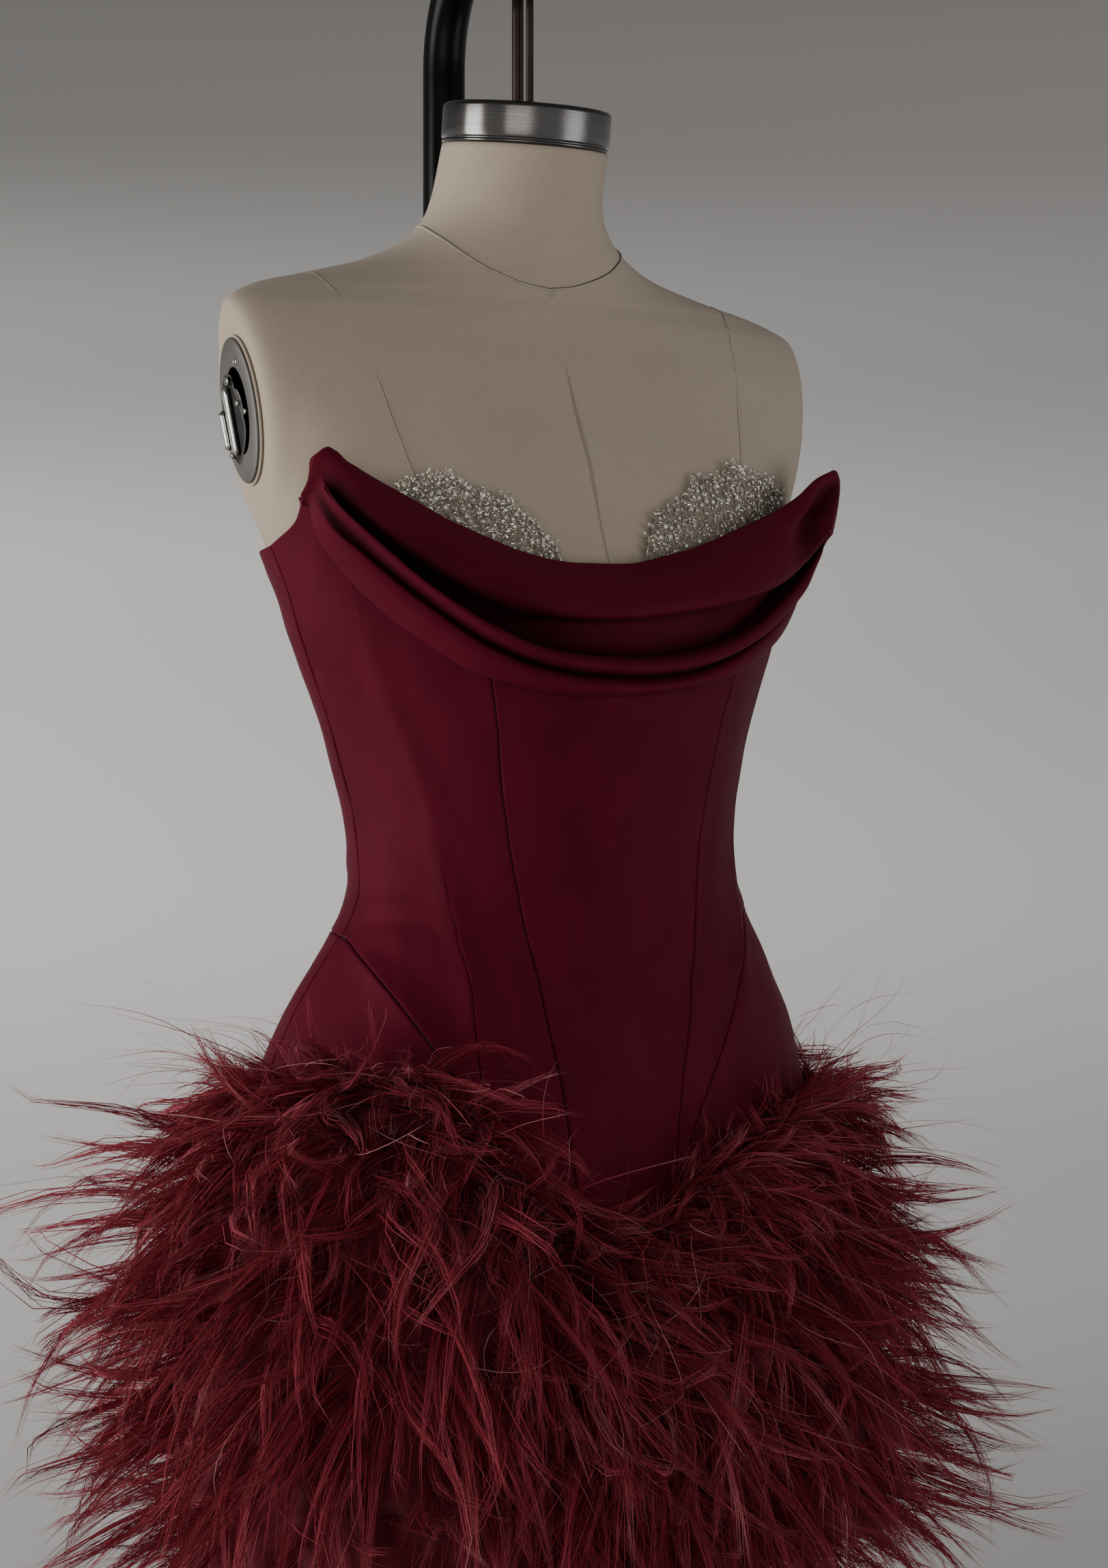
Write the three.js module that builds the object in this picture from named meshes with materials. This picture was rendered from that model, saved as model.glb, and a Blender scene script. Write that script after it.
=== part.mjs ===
// Strapless corset mini dress with a cowl neckline and a feather skirt, worn by a
// limbless linen-covered dress form that hangs from a gooseneck stand.
// Millimetres, +Z up. The dress faces -Y, the wearer's left is +X, and the origin
// is on the floor under the middle of the stand.
import * as THREE from 'three';

// ---------------------------------------------------------------- driving sizes
const CLOTH = 2.5;            // bodice and skirt wall: crepe on its stiffening
const EASE = 2.5;             // air between the form and the inside of the dress
const OUTER = EASE + CLOTH;   // outside face of the dress, measured off the form
const SEAM = 0.5;             // gap kept between two sewn pieces
const DRAPE_WALL = 2.2;       // cowl, cloth folded double
const LACE_IN = 2.4;          // beaded lace, inside face off the form
const LACE_WALL = 1.4;
const HEM_Z = 622;            // skirt base hem
const FEATHER_HEM_Z = 600;    // feather tips
const TORSO_BOTTOM = 760;     // lower edge of the dress form
const NECK_TOP = 1487.5;
const NECK_TILT = 8;          // degrees, the neck block slopes down to the front
const RING = { radius: 52, height: 25, y: 22, bevel: 1.2 };
const POLE = { radius: 13.5, y: 128, bend: 90, top: 1556, reach: 44 };
const ROD_BACK = { radius: 3.65, y: 31 };
const ROD_FRONT = { radius: 2.35, y: 16 };
const BLOCK = { w: 28, d: 32, h: 24, y: 24 };
const BASE = { radius: 240, height: 14, bevel: 4 };
const COLLAR = { radius: 25, height: 46 };
const ARM = { y: 27, z: 1317, halfW: 23, halfH: 43, x: 187.5, lean: 0.15, thick: 3.2 };

// ------------------------------------------------------- dress form, by height
// half: half width; mid: y of the widest line; front, back: y on the centre lines;
// nf, nb: roundness of the front and the back half (2 is an ellipse)
const FORM = [
  { z: 600, half: 168, mid: 4, front: -92, back: 90, nf: 2.2, nb: 2.2 },
  { z: 680, half: 171, mid: 4, front: -95, back: 94, nf: 2.2, nb: 2.2 },
  { z: 740, half: 173, mid: 5, front: -98, back: 96, nf: 2.2, nb: 2.2 },
  { z: 800, half: 176, mid: 6, front: -100, back: 98, nf: 2.2, nb: 2.2 },
  { z: 860, half: 178, mid: 8, front: -101, back: 99, nf: 2.2, nb: 2.2 },
  { z: 905, half: 176, mid: 11, front: -100, back: 98, nf: 2.15, nb: 2.2 },
  { z: 930, half: 172, mid: 12, front: -99, back: 96, nf: 2.1, nb: 2.15 },
  { z: 950, half: 165, mid: 8, front: -98, back: 94, nf: 2.1, nb: 2.1 },
  { z: 970, half: 156, mid: 4, front: -97, back: 90, nf: 2.05, nb: 2.1 },
  { z: 985, half: 148, mid: 1, front: -96, back: 86, nf: 2, nb: 2.05 },
  { z: 1002, half: 137.5, mid: -1, front: -95, back: 82, nf: 2, nb: 2 },
  { z: 1020, half: 127, mid: -1, front: -94, back: 79, nf: 2, nb: 2 },
  { z: 1038, half: 121.5, mid: 1, front: -94, back: 77, nf: 2, nb: 2 },
  { z: 1058, half: 120, mid: 6, front: -94, back: 76, nf: 2, nb: 2 },
  { z: 1080, half: 121.5, mid: 10, front: -95.5, back: 78, nf: 2, nb: 2 },
  { z: 1105, half: 126.5, mid: 14, front: -98, back: 81, nf: 2, nb: 2 },
  { z: 1130, half: 133, mid: 16, front: -99, back: 85, nf: 2, nb: 2 },
  { z: 1160, half: 144.5, mid: 15, front: -98, back: 90, nf: 2, nb: 2 },
  { z: 1185, half: 155, mid: 12, front: -93, back: 94, nf: 2, nb: 2.05 },
  { z: 1210, half: 162.5, mid: 13, front: -87, back: 97, nf: 2.05, nb: 2.1 },
  { z: 1235, half: 171, mid: 17, front: -79, back: 99, nf: 2.1, nb: 2.2 },
  { z: 1260, half: 179, mid: 21, front: -69, back: 101, nf: 2.2, nb: 2.2 },
  { z: 1290, half: 189, mid: 23, front: -56, back: 104, nf: 2.3, nb: 2.2 },
  { z: 1320, half: 197, mid: 21, front: -41, back: 106, nf: 2.4, nb: 2.2 },
  { z: 1350, half: 202, mid: 22, front: -27, back: 106, nf: 2.3, nb: 2.1 },
  { z: 1366, half: 203, mid: 24, front: -19, back: 105, nf: 2.1, nb: 2 },
  { z: 1380, half: 199, mid: 28, front: -13, back: 103, nf: 1.9, nb: 1.85 },
  { z: 1393, half: 180, mid: 34, front: -8.5, back: 100.5, nf: 1.65, nb: 1.6 },
  { z: 1404, half: 141, mid: 40, front: -7.5, back: 98, nf: 1.6, nb: 1.55 },
  { z: 1415, half: 102, mid: 43, front: -9, back: 96, nf: 1.7, nb: 1.65 },
  { z: 1426, half: 78, mid: 42, front: -12, back: 93.5, nf: 1.85, nb: 1.85 },
  { z: 1438, half: 62.5, mid: 38.5, front: -15, back: 91, nf: 1.95, nb: 1.95 },
  { z: 1450, half: 55, mid: 34.5, front: -18.5, back: 87.5, nf: 2, nb: 2 },
  { z: 1465, half: 52, mid: 29.5, front: -22, back: 81.5, nf: 2, nb: 2 },
  { z: 1487.5, half: 51, mid: 22, front: -29, back: 73, nf: 2, nb: 2 },
];
// fullness of the bust on each side of the centre front
const BUST = { x: 82, z: 1203, out: 7, wide: 34, high: 38 };

// ------------------------------------------------------------- seams and edges
// Angles go round the section: 0 is centre front, 90 the side, 180 centre back.
// Seam lines: angle at each height, on the wearer's right and left.
const PRINCESS = [
  { z: 818, right: 7, left: 6 }, { z: 862, right: 10, left: 8 },
  { z: 900, right: 12, left: 9.5 }, { z: 945, right: 16, left: 13 },
  { z: 985, right: 22, left: 18 }, { z: 1005, right: 26, left: 21.5 },
  { z: 1030, right: 30.5, left: 25 }, { z: 1060, right: 33.5, left: 27.5 },
  { z: 1096, right: 35, left: 30 }, { z: 1130, right: 34.5, left: 32 },
  { z: 1160, right: 34, left: 34 }, { z: 1290, right: 33, left: 33 },
];
const SIDE_FRONT = [
  { z: 860, right: 28, left: 28 }, { z: 912, right: 29, left: 29 },
  { z: 930, right: 30.5, left: 30.5 }, { z: 960, right: 34, left: 34 },
  { z: 984, right: 38, left: 38 }, { z: 1007, right: 44.5, left: 45 },
  { z: 1038, right: 52, left: 52 }, { z: 1097, right: 57.5, left: 57.5 },
  { z: 1156, right: 62, left: 62 }, { z: 1210, right: 62, left: 62 },
  { z: 1290, right: 58, left: 58 },
];
const SIDE = 88;              // bodice side seam
const BACK_SEAM = 146;        // back princess seam
const ZIP_HALF = 2.6;         // half width left for the closed zip, mm
// Basque seam between bodice and skirt: height at each angle
const BASQUE = [
  { at: 0, right: 818, left: 818 }, { at: 8, right: 832, left: 862 },
  { at: 14, right: 849, left: 901 }, { at: 21, right: 872, left: 933 },
  { at: 26, right: 891, left: 953 }, { at: 31, right: 910, left: 969 },
  { at: 36, right: 929, left: 982 }, { at: 42, right: 946, left: 996 },
  { at: 50, right: 964, left: 1010 }, { at: 60, right: 981, left: 1020 },
  { at: 72, right: 995, left: 1023 }, { at: 88, right: 1007, left: 1020 },
  { at: 120, right: 1010, left: 1012 }, { at: 180, right: 1000, left: 1000 },
];
// Top edge of the bodice under the cowl, round the armhole and across the back
const NECKLINE = [
  { at: 0, z: 1218 }, { at: 11, z: 1220.5 }, { at: 20, z: 1226 }, { at: 30, z: 1238 },
  { at: 40, z: 1254 }, { at: 48, z: 1268 }, { at: 54, z: 1278 }, { at: 58, z: 1277 },
  { at: 62, z: 1270 }, { at: 67, z: 1260 }, { at: 73, z: 1249 }, { at: 82, z: 1241 },
  { at: 90, z: 1236.5 }, { at: 110, z: 1234 }, { at: 146, z: 1229 }, { at: 180, z: 1226 },
];
// The corners of the bodice stand off the form to carry the cowl's points
const CORNER = { at: 57, spread: 11, out: 19, from: 1225, to: 1280 };

// Cowl: one cloth in folds from point to point. Each row is a line along it, from
// the top edge down: height at the middle and at the point, how it hangs between
// (bend), how far its face stands off the form at the middle and at the point, and
// how far out along the form it ends.
const COWL = [
  { name: 'top edge', z: 1225.5, zEnd: 1291.5, bend: 2.2, out: 8.6, outEnd: 33, end: 157 },
  { name: 'roll top', z: 1222, zEnd: 1290.4, bend: 2.2, out: 12.2, outEnd: 36, end: 158 },
  { name: 'roll', z: 1215.5, zEnd: 1289, bend: 2.3, out: 15, outEnd: 37.5, end: 159 },
  { name: 'roll belly', z: 1206, zEnd: 1287, bend: 2.45, out: 16, outEnd: 38, end: 159.5 },
  { name: 'roll foot', z: 1197.5, zEnd: 1284.6, bend: 2.6, out: 13.8, outEnd: 36.5, end: 160 },
  { name: 'hollow top', z: 1191, zEnd: 1282.2, bend: 2.7, out: 9.8, outEnd: 33.5, end: 160.5 },
  { name: 'hollow', z: 1181, zEnd: 1279.4, bend: 2.8, out: 8.6, outEnd: 31, end: 161 },
  { name: 'hollow foot', z: 1172, zEnd: 1277, bend: 2.85, out: 10.2, outEnd: 31.5, end: 161.5 },
  { name: 'fold', z: 1165, zEnd: 1274.5, bend: 2.9, out: 14.4, outEnd: 32.5, end: 162 },
  { name: 'fold foot', z: 1159, zEnd: 1272, bend: 3.1, out: 14, outEnd: 30, end: 163 },
  { name: 'crease', z: 1154.6, zEnd: 1269.6, bend: 3.3, out: 9.6, outEnd: 26, end: 164 },
  { name: 'hem band', z: 1151, zEnd: 1267, bend: 3.6, out: 11.2, outEnd: 23, end: 165 },
  { name: 'hem roll', z: 1147, zEnd: 1264, bend: 3.9, out: 10.8, outEnd: 20, end: 166 },
  { name: 'hem edge', z: 1143.5, zEnd: 1261, bend: 4, out: 8.6, outEnd: 17, end: 167 },
];
const COWL_HOLD = 3;          // how late the cowl swings out to its points

// Beaded lace above the neckline: upper outline at each angle
const LACE_RIGHT = [
  { at: 11, z: 1232 }, { at: 13, z: 1246 }, { at: 17, z: 1258 }, { at: 21, z: 1265 },
  { at: 26, z: 1271 }, { at: 31, z: 1275 }, { at: 36, z: 1278 }, { at: 41, z: 1279 },
  { at: 46, z: 1275 },
];
const LACE_LEFT = [
  { at: 7, z: 1231 }, { at: 9, z: 1244 }, { at: 13, z: 1256 }, { at: 19, z: 1268 },
  { at: 25, z: 1277 }, { at: 31, z: 1286 }, { at: 36, z: 1290 }, { at: 42, z: 1289 },
  { at: 49, z: 1286 }, { at: 53, z: 1281 },
];

// Feathers: height where they start at each angle, and how far they reach out
const FEATHER_TOP = [
  { at: 0, right: 812, left: 812 }, { at: 8, right: 824, left: 848 },
  { at: 14, right: 842, left: 862 }, { at: 21, right: 864, left: 874 },
  { at: 28, right: 892, left: 882 }, { at: 36, right: 910, left: 890 },
  { at: 50, right: 916, left: 896 }, { at: 72, right: 917, left: 903 },
  { at: 100, right: 916, left: 910 }, { at: 180, right: 912, left: 912 },
];
const FEATHER_REACH = [
  { down: 0, out: 9 }, { down: 14, out: 32 }, { down: 38, out: 58 }, { down: 75, out: 86 },
  { down: 120, out: 104 }, { down: 175, out: 115 }, { down: 235, out: 119 }, { down: 320, out: 117 },
];
const FEATHER_IN = OUTER + 1.6;   // the tiers' backing lies just off the skirt
const BACK_SLIT = 21;             // half width of the slit behind, clear of the pole
const TIERS = 3;

// -------------------------------------------------------------------- materials
const mat = (color, roughness, metalness = 0) => new THREE.MeshStandardMaterial({ color, roughness, metalness });
const CREPE = () => mat(0x5a1426, 0.6);
const FEATHER = () => mat(0x54131f, 0.9);
const LINEN = () => mat(0x9a8c7b, 0.85);
const STEEL = () => mat(0xb9bbbe, 0.3, 1);
const BLACK = () => mat(0x0b0b0c, 0.18, 0.1);
const BRONZE = () => mat(0x3a2a24, 0.35, 0.9);
const LACE = () => mat(0xa9a59c, 0.4, 0.3);

// ---------------------------------------------------------------------- helpers
const rad = (d) => d * Math.PI / 180;
const lerp = (a, b, t) => a + (b - a) * t;
const smooth = (a, b, v) => { const t = Math.min(1, Math.max(0, (v - a) / (b - a))); return t * t * (3 - 2 * t); };

// smooth monotone curve through a table's column
function curve(rows, x, y) {
  const X = rows.map((r) => r[x]), Y = rows.map((r) => r[y]), n = X.length;
  const h = [], d = [];
  for (let i = 0; i < n - 1; i++) { h.push(X[i + 1] - X[i]); d.push((Y[i + 1] - Y[i]) / h[i]); }
  const m = [d[0]];
  for (let i = 1; i < n - 1; i++) {
    if (d[i - 1] * d[i] <= 0) { m.push(0); continue; }
    const w1 = 2 * h[i] + h[i - 1], w2 = h[i] + 2 * h[i - 1];
    m.push((w1 + w2) / (w1 / d[i - 1] + w2 / d[i]));
  }
  m.push(d[n - 2]);
  return (v) => {
    if (v <= X[0]) return Y[0];
    if (v >= X[n - 1]) return Y[n - 1];
    let i = 0;
    while (X[i + 1] < v) i++;
    const t = (v - X[i]) / h[i], t2 = t * t, t3 = t2 * t;
    return (2 * t3 - 3 * t2 + 1) * Y[i] + (t3 - 2 * t2 + t) * h[i] * m[i]
      + (3 * t2 - 2 * t3) * Y[i + 1] + (t3 - t2) * h[i] * m[i + 1];
  };
}
const F = Object.fromEntries(['half', 'mid', 'front', 'back', 'nf', 'nb'].map((k) => [k, curve(FORM, 'z', k)]));

// point on the form at height z and angle psi, moved out by off
function skin(z, psi, off = 0) {
  const half = F.half(z), mid = F.mid(z), p = rad(psi), s = Math.sin(p), c = Math.cos(p);
  const ahead = c >= 0, deep = ahead ? mid - F.front(z) : F.back(z) - mid, n = ahead ? F.nf(z) : F.nb(z);
  const A = Math.abs(s), B = Math.abs(c);
  let x = half * A ** (2 / n), y = deep * B ** (2 / n);
  const nx = A ** (2 - 2 / n) / half, ny = B ** (2 - 2 / n) / deep, l = Math.hypot(nx, ny) || 1;
  x += off * nx / l; y += off * ny / l;
  let Y = mid + (ahead ? -y : y);
  if (ahead) Y -= BUST.out * Math.exp(-(((x - BUST.x) / BUST.wide) ** 2) - (((z - BUST.z) / BUST.high) ** 2));
  return [s < 0 ? -x : x, Y, z];
}
const angleOf = (z, x) => Math.sign(x) * Math.asin(Math.min(1, Math.abs(x) / F.half(z)) ** (F.nf(z) / 2)) * 180 / Math.PI;
// the dress: as the form, with its upper corners standing off
function corner(z, psi) {
  return CORNER.out * smooth(CORNER.from, CORNER.to, z) * Math.exp(-(((Math.abs(psi) - CORNER.at) / CORNER.spread) ** 2));
}
const dress = (z, psi, off) => skin(z, psi, off + corner(z, psi));

function meshFrom(name, positions, index, material) {
  const g = new THREE.BufferGeometry();
  g.setAttribute('position', new THREE.Float32BufferAttribute(positions, 3));
  g.setIndex(index);
  // faces point out: turn them if the enclosed volume comes out negative
  let v = 0;
  const P = (i) => new THREE.Vector3().fromArray(positions, i * 3);
  for (let i = 0; i < index.length; i += 3) v += P(index[i]).dot(P(index[i + 1]).cross(P(index[i + 2])));
  if (v < 0) for (let i = 0; i < index.length; i += 3) [index[i], index[i + 1]] = [index[i + 1], index[i]];
  g.setIndex(index);
  g.computeVertexNormals();
  const m = new THREE.Mesh(g, material);
  m.name = name;
  return m;
}
// a wall: outer and inner face given as grids [i][j], closed along its four edges
function wall(name, outer, inner, material) {
  const ni = outer.length, nj = outer[0].length, pos = [], idx = [];
  for (const grid of [outer, inner]) for (const col of grid) for (const p of col) pos.push(...p);
  const o = (i, j) => i * nj + j, q = (i, j) => ni * nj + i * nj + j;
  const quad = (a, b, c, d) => idx.push(a, b, c, a, c, d);
  for (let i = 0; i < ni - 1; i++) for (let j = 0; j < nj - 1; j++) {
    quad(o(i, j), o(i + 1, j), o(i + 1, j + 1), o(i, j + 1));
    quad(q(i, j), q(i, j + 1), q(i + 1, j + 1), q(i + 1, j));
  }
  for (let i = 0; i < ni - 1; i++) {
    quad(o(i, 0), q(i, 0), q(i + 1, 0), o(i + 1, 0));
    quad(o(i, nj - 1), o(i + 1, nj - 1), q(i + 1, nj - 1), q(i, nj - 1));
  }
  for (let j = 0; j < nj - 1; j++) {
    quad(o(0, j), o(0, j + 1), q(0, j + 1), q(0, j));
    quad(o(ni - 1, j), q(ni - 1, j), q(ni - 1, j + 1), o(ni - 1, j + 1));
  }
  return meshFrom(name, pos, idx, material);
}
// a closed body through rings of points, capped at both ends
function loft(name, rings, material) {
  const n = rings[0].length, pos = [], idx = [];
  for (const r of rings) for (const p of r) pos.push(...p);
  for (let k = 0; k < rings.length - 1; k++) for (let i = 0; i < n; i++) {
    const a = k * n + i, b = k * n + (i + 1) % n;
    idx.push(a, b, b + n, a, b + n, a + n);
  }
  for (const [k, flip] of [[0, true], [rings.length - 1, false]]) {
    const c = [0, 1, 2].map((d) => rings[k].reduce((s, p) => s + p[d], 0) / n), at = pos.length / 3;
    pos.push(...c);
    for (let i = 0; i < n; i++) {
      const a = k * n + i, b = k * n + (i + 1) % n;
      if (flip) idx.push(b, a, at); else idx.push(a, b, at);
    }
  }
  return meshFrom(name, pos, idx, material);
}
const group = new THREE.Group();

// ------------------------------------------------------------- dress form torso
function torsoPoint(z, psi, off) {
  const p = skin(z, psi, off);
  // arm stumps: a flat oval seat for each plate
  const r = Math.hypot((p[1] - ARM.y) / (ARM.halfW + 3), (z - ARM.z) / (ARM.halfH + 3));
  const w = 1 - smooth(1, 1.7, r);
  const seat = ARM.x + ARM.lean * (z - ARM.z);
  if (w > 0) p[0] = lerp(p[0], Math.sign(p[0]) * seat, Math.abs(p[0]) > 120 ? w : 0);
  // neck top slopes down to the front
  p[2] = z + (p[1] - F.mid(z)) * Math.tan(rad(NECK_TILT)) * smooth(1432, NECK_TOP, z);
  return p;
}
{
  const heights = [[TORSO_BOTTOM, -9], [763, -3.5], [771, 0]];
  for (const z of [800, 840, 880, 910, 935, 955, 975, 995, 1015, 1035, 1058, 1085, 1112, 1140, 1168, 1192, 1215, 1238, 1258,
    1270, 1284, 1300, 1317, 1334, 1350, 1362, 1373, 1383, 1393, 1404, 1415, 1426, 1438, 1450, 1466, NECK_TOP]) heights.push([z, 0]);
  const N = 44;
  group.add(loft('form_torso', heights.map(([z, off]) => Array.from({ length: N }, (_, i) => torsoPoint(z, -180 + (i + 0.5) * 360 / N, off))), LINEN()));
}
// metal band and cap on the neck block
{
  const R = RING.radius, H = RING.height, b = RING.bevel;
  const profile = [[0, 0], [R - b, 0], [R, b], [R, H - b], [R - b, H], [0, H]].map(([x, y]) => new THREE.Vector2(x, y));
  const g = new THREE.LatheGeometry(profile, 44);
  g.rotateX(Math.PI / 2);
  const m = new THREE.Mesh(g, STEEL());
  m.name = 'form_neck_ring';
  m.rotation.x = rad(NECK_TILT);
  m.position.set(0, RING.y, NECK_TOP + 0.45);
  group.add(m);
}
// arm plates with their chrome clamp levers
for (const [side, sx] of [['right', -1], ['left', 1]]) {
  const tilt = Math.atan(ARM.lean);
  // build in a frame whose x is out of the stump, then lean it with the stump
  const holder = new THREE.Group();
  holder.position.set(sx * (ARM.x + 0.4), ARM.y, ARM.z);
  holder.rotation.y = sx * tilt;
  const oval = new THREE.Shape();
  oval.absellipse(0, 0, ARM.halfW, ARM.halfH, 0, Math.PI * 2);
  const plate = new THREE.ExtrudeGeometry(oval, { depth: ARM.thick - 1, bevelEnabled: true, bevelThickness: 0.5, bevelSize: 0.5, bevelOffset: -0.5, bevelSegments: 1, curveSegments: 30 });
  plate.translate(0, 0, 0.5);
  // shape x -> -y, shape y -> z, depth -> x
  const toSide = new THREE.Matrix4().makeBasis(new THREE.Vector3(0, sx, 0), new THREE.Vector3(0, 0, 1), new THREE.Vector3(sx, 0, 0));
  plate.applyMatrix4(toSide);
  const pm = new THREE.Mesh(plate, mat(0x5d5f60, 0.45, 0.6));
  pm.name = `arm_plate_${side}`;
  holder.add(pm);
  // two bent clamp bars: straight steel bars lying down the plate
  const bar = (name, y0, z0, y1, z1, w, t) => {
    const len = Math.hypot(y1 - y0, z1 - z0), s = new THREE.Shape();
    s.moveTo(-w / 2, 0); s.lineTo(w / 2, 0); s.lineTo(w / 2, len); s.absarc(0, len, w / 2, 0, Math.PI, false); s.lineTo(-w / 2, 0);
    const g = new THREE.ExtrudeGeometry(s, { depth: t, bevelEnabled: false, curveSegments: 6 });
    g.rotateZ(Math.atan2(-(y1 - y0) * sx, z1 - z0));
    g.translate(y0 * sx, z0, ARM.thick + 0.4);
    g.applyMatrix4(toSide);
    const m = new THREE.Mesh(g, STEEL());
    m.name = name;
    holder.add(m);
  };
  bar(`arm_lever_${side}`, -5, -34, -2, 16, 6, 3.5);
  bar(`arm_latch_${side}`, 6, -26, 9, -4, 5, 5);
  group.add(holder);
}

// ------------------------------------------------------------------- the stand
{
  const n = 24, R = POLE.radius;
  const ring = (cy, cz, ty, tz) => Array.from({ length: n }, (_, i) => {
    const a = i / n * 2 * Math.PI; // circle across the direction of travel (ty, tz)
    return [R * Math.cos(a), cy + R * Math.sin(a) * tz, cz - R * Math.sin(a) * ty];
  });
  const rings = [ring(POLE.y, BASE.height + 0.4, 0, 1), ring(POLE.y, 600, 0, 1), ring(POLE.y, 1100, 0, 1), ring(POLE.y, POLE.top, 0, 1)];
  for (let k = 1; k <= 12; k++) {
    const a = k / 12 * Math.PI / 2;
    rings.push(ring(POLE.y - POLE.bend * (1 - Math.cos(a)), POLE.top + POLE.bend * Math.sin(a), -Math.sin(a), Math.cos(a)));
  }
  rings.push(ring(POLE.y - POLE.bend - POLE.reach, POLE.top + POLE.bend, -1, 0));
  group.add(loft('stand_gooseneck', rings, BLACK()));

  const collar = new THREE.LatheGeometry([[POLE.radius + 0.4, 0], [COLLAR.radius + 9, 0], [COLLAR.radius + 9, 7], [COLLAR.radius - 3, 12],
    [COLLAR.radius - 6, COLLAR.height], [POLE.radius + 0.4, COLLAR.height], [POLE.radius + 0.4, 0]].map(([x, y]) => new THREE.Vector2(x, y)), 32);
  collar.rotateX(Math.PI / 2);
  const cm = new THREE.Mesh(collar, BLACK());
  cm.name = 'stand_collar';
  cm.position.set(0, POLE.y, BASE.height + 0.4);
  group.add(cm);

  const b = BASE.bevel;
  const base = new THREE.LatheGeometry([[0, 0], [BASE.radius - 1, 0], [BASE.radius, 1], [BASE.radius, BASE.height - b], [BASE.radius - b, BASE.height], [0, BASE.height]]
    .map(([x, y]) => new THREE.Vector2(x, y)), 64);
  base.rotateX(Math.PI / 2);
  const bm = new THREE.Mesh(base, BLACK());
  bm.name = 'stand_base';
  group.add(bm);

  const blockTop = POLE.top + POLE.bend - POLE.radius - 0.4;
  const block = new THREE.BoxGeometry(BLOCK.w, BLOCK.d, BLOCK.h);
  const km = new THREE.Mesh(block, BLACK());
  km.name = 'stand_hanger_block';
  km.position.set(0, BLOCK.y, blockTop - BLOCK.h / 2);
  group.add(km);
  // rods: square to the block above, cut to the slope of the neck cap below
  const t = rad(NECK_TILT), capY = RING.y - RING.height * Math.sin(t), capZ = NECK_TOP + 0.45 + RING.height * Math.cos(t);
  for (const [name, rod] of [['hanger_rod_back', ROD_BACK], ['hanger_rod_front', ROD_FRONT]]) {
    const m = 16, at = (zf) => Array.from({ length: m }, (_, i) => {
      const a = i / m * 2 * Math.PI, x = rod.radius * Math.cos(a), y = rod.y + rod.radius * Math.sin(a);
      return [x, y, zf(y)];
    });
    group.add(loft(name, [at((y) => capZ + (y - capY) * Math.tan(t) + 0.4), at(() => blockTop - BLOCK.h - 0.4)], BRONZE()));
  }
}

// --------------------------------------------------------------- bodice panels
const princess = { right: curve(PRINCESS, 'z', 'right'), left: curve(PRINCESS, 'z', 'left') };
const sideFront = { right: curve(SIDE_FRONT, 'z', 'right'), left: curve(SIDE_FRONT, 'z', 'left') };
const basque = { right: curve(BASQUE, 'at', 'right'), left: curve(BASQUE, 'at', 'left') };
const neckline = curve(NECKLINE, 'at', 'z');
const basqueAt = (psi) => basque[psi < 0 ? 'right' : 'left'](Math.abs(psi));
const neckAt = (psi) => neckline(Math.abs(psi));
// angle that a distance along the cloth takes at this place
function turn(z, psi, dist) {
  const a = dress(z, psi - 0.5, OUTER), b = dress(z, psi + 0.5, OUTER);
  return dist / Math.hypot(b[0] - a[0], b[1] - a[1]);
}
// height on the line (angle as a function of height) where it meets an edge
function meet(angle, edge, lo, hi, above) {
  for (let k = 0; k < 40; k++) {
    const z = (lo + hi) / 2, d = z - edge(angle(z));
    if ((d < 0) === above) lo = z; else hi = z;
  }
  return (lo + hi) / 2;
}
// one cut piece between two seams (angles by height) and two edges (heights by angle)
function panel(name, from, to, bottom, top, ni, nj, offIn, offOut, material, range, spread = (t) => t, rise = (t) => t) {
  const outer = [], inner = [];
  for (let i = 0; i <= ni; i++) {
    const t = spread(i / ni);
    const line = (z) => {
      const a = from(z), b = to(z), g = SEAM / 2;
      return lerp(a + turn(z, a, g), b - turn(z, b, g), t);
    };
    const zb = meet(line, bottom, range[0], range[1], true), zt = meet(line, top, zb + 1, range[2], true);
    const co = [], ci = [];
    for (let j = 0; j <= nj; j++) {
      const z = lerp(zb, zt, rise(j / nj)), a = line(z);
      co.push(dress(z, a, offOut)); ci.push(dress(z, a, offIn));
    }
    outer.push(co); inner.push(ci);
  }
  return wall(name, outer, inner, material);
}
const gapUp = 0.9;            // half the gap along the basque seam, which runs steeply
const bodiceFoot = (a) => basqueAt(a) + gapUp, bodiceTop = (a) => neckAt(a);
const R = [780, 1100, 1300], ROWS = 14;   // the same rows on both sides of a seam
const add = (...args) => group.add(panel(...args));
add('bodice_front_centre', (z) => -princess.right(z), (z) => princess.left(z), bodiceFoot, bodiceTop, 10, ROWS, EASE, OUTER, CREPE(), R);
add('bodice_front_right', (z) => -sideFront.right(z), (z) => -princess.right(z), bodiceFoot, bodiceTop, 4, ROWS, EASE, OUTER, CREPE(), R);
add('bodice_front_left', (z) => princess.left(z), (z) => sideFront.left(z), bodiceFoot, bodiceTop, 4, ROWS, EASE, OUTER, CREPE(), R);
add('bodice_side_front_right', () => -SIDE, (z) => -sideFront.right(z), bodiceFoot, bodiceTop, 5, ROWS, EASE, OUTER, CREPE(), R);
add('bodice_side_front_left', (z) => sideFront.left(z), () => SIDE, bodiceFoot, bodiceTop, 5, ROWS, EASE, OUTER, CREPE(), R);
add('bodice_side_back_right', () => -BACK_SEAM, () => -SIDE, bodiceFoot, bodiceTop, 5, ROWS, EASE, OUTER, CREPE(), R);
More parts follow.
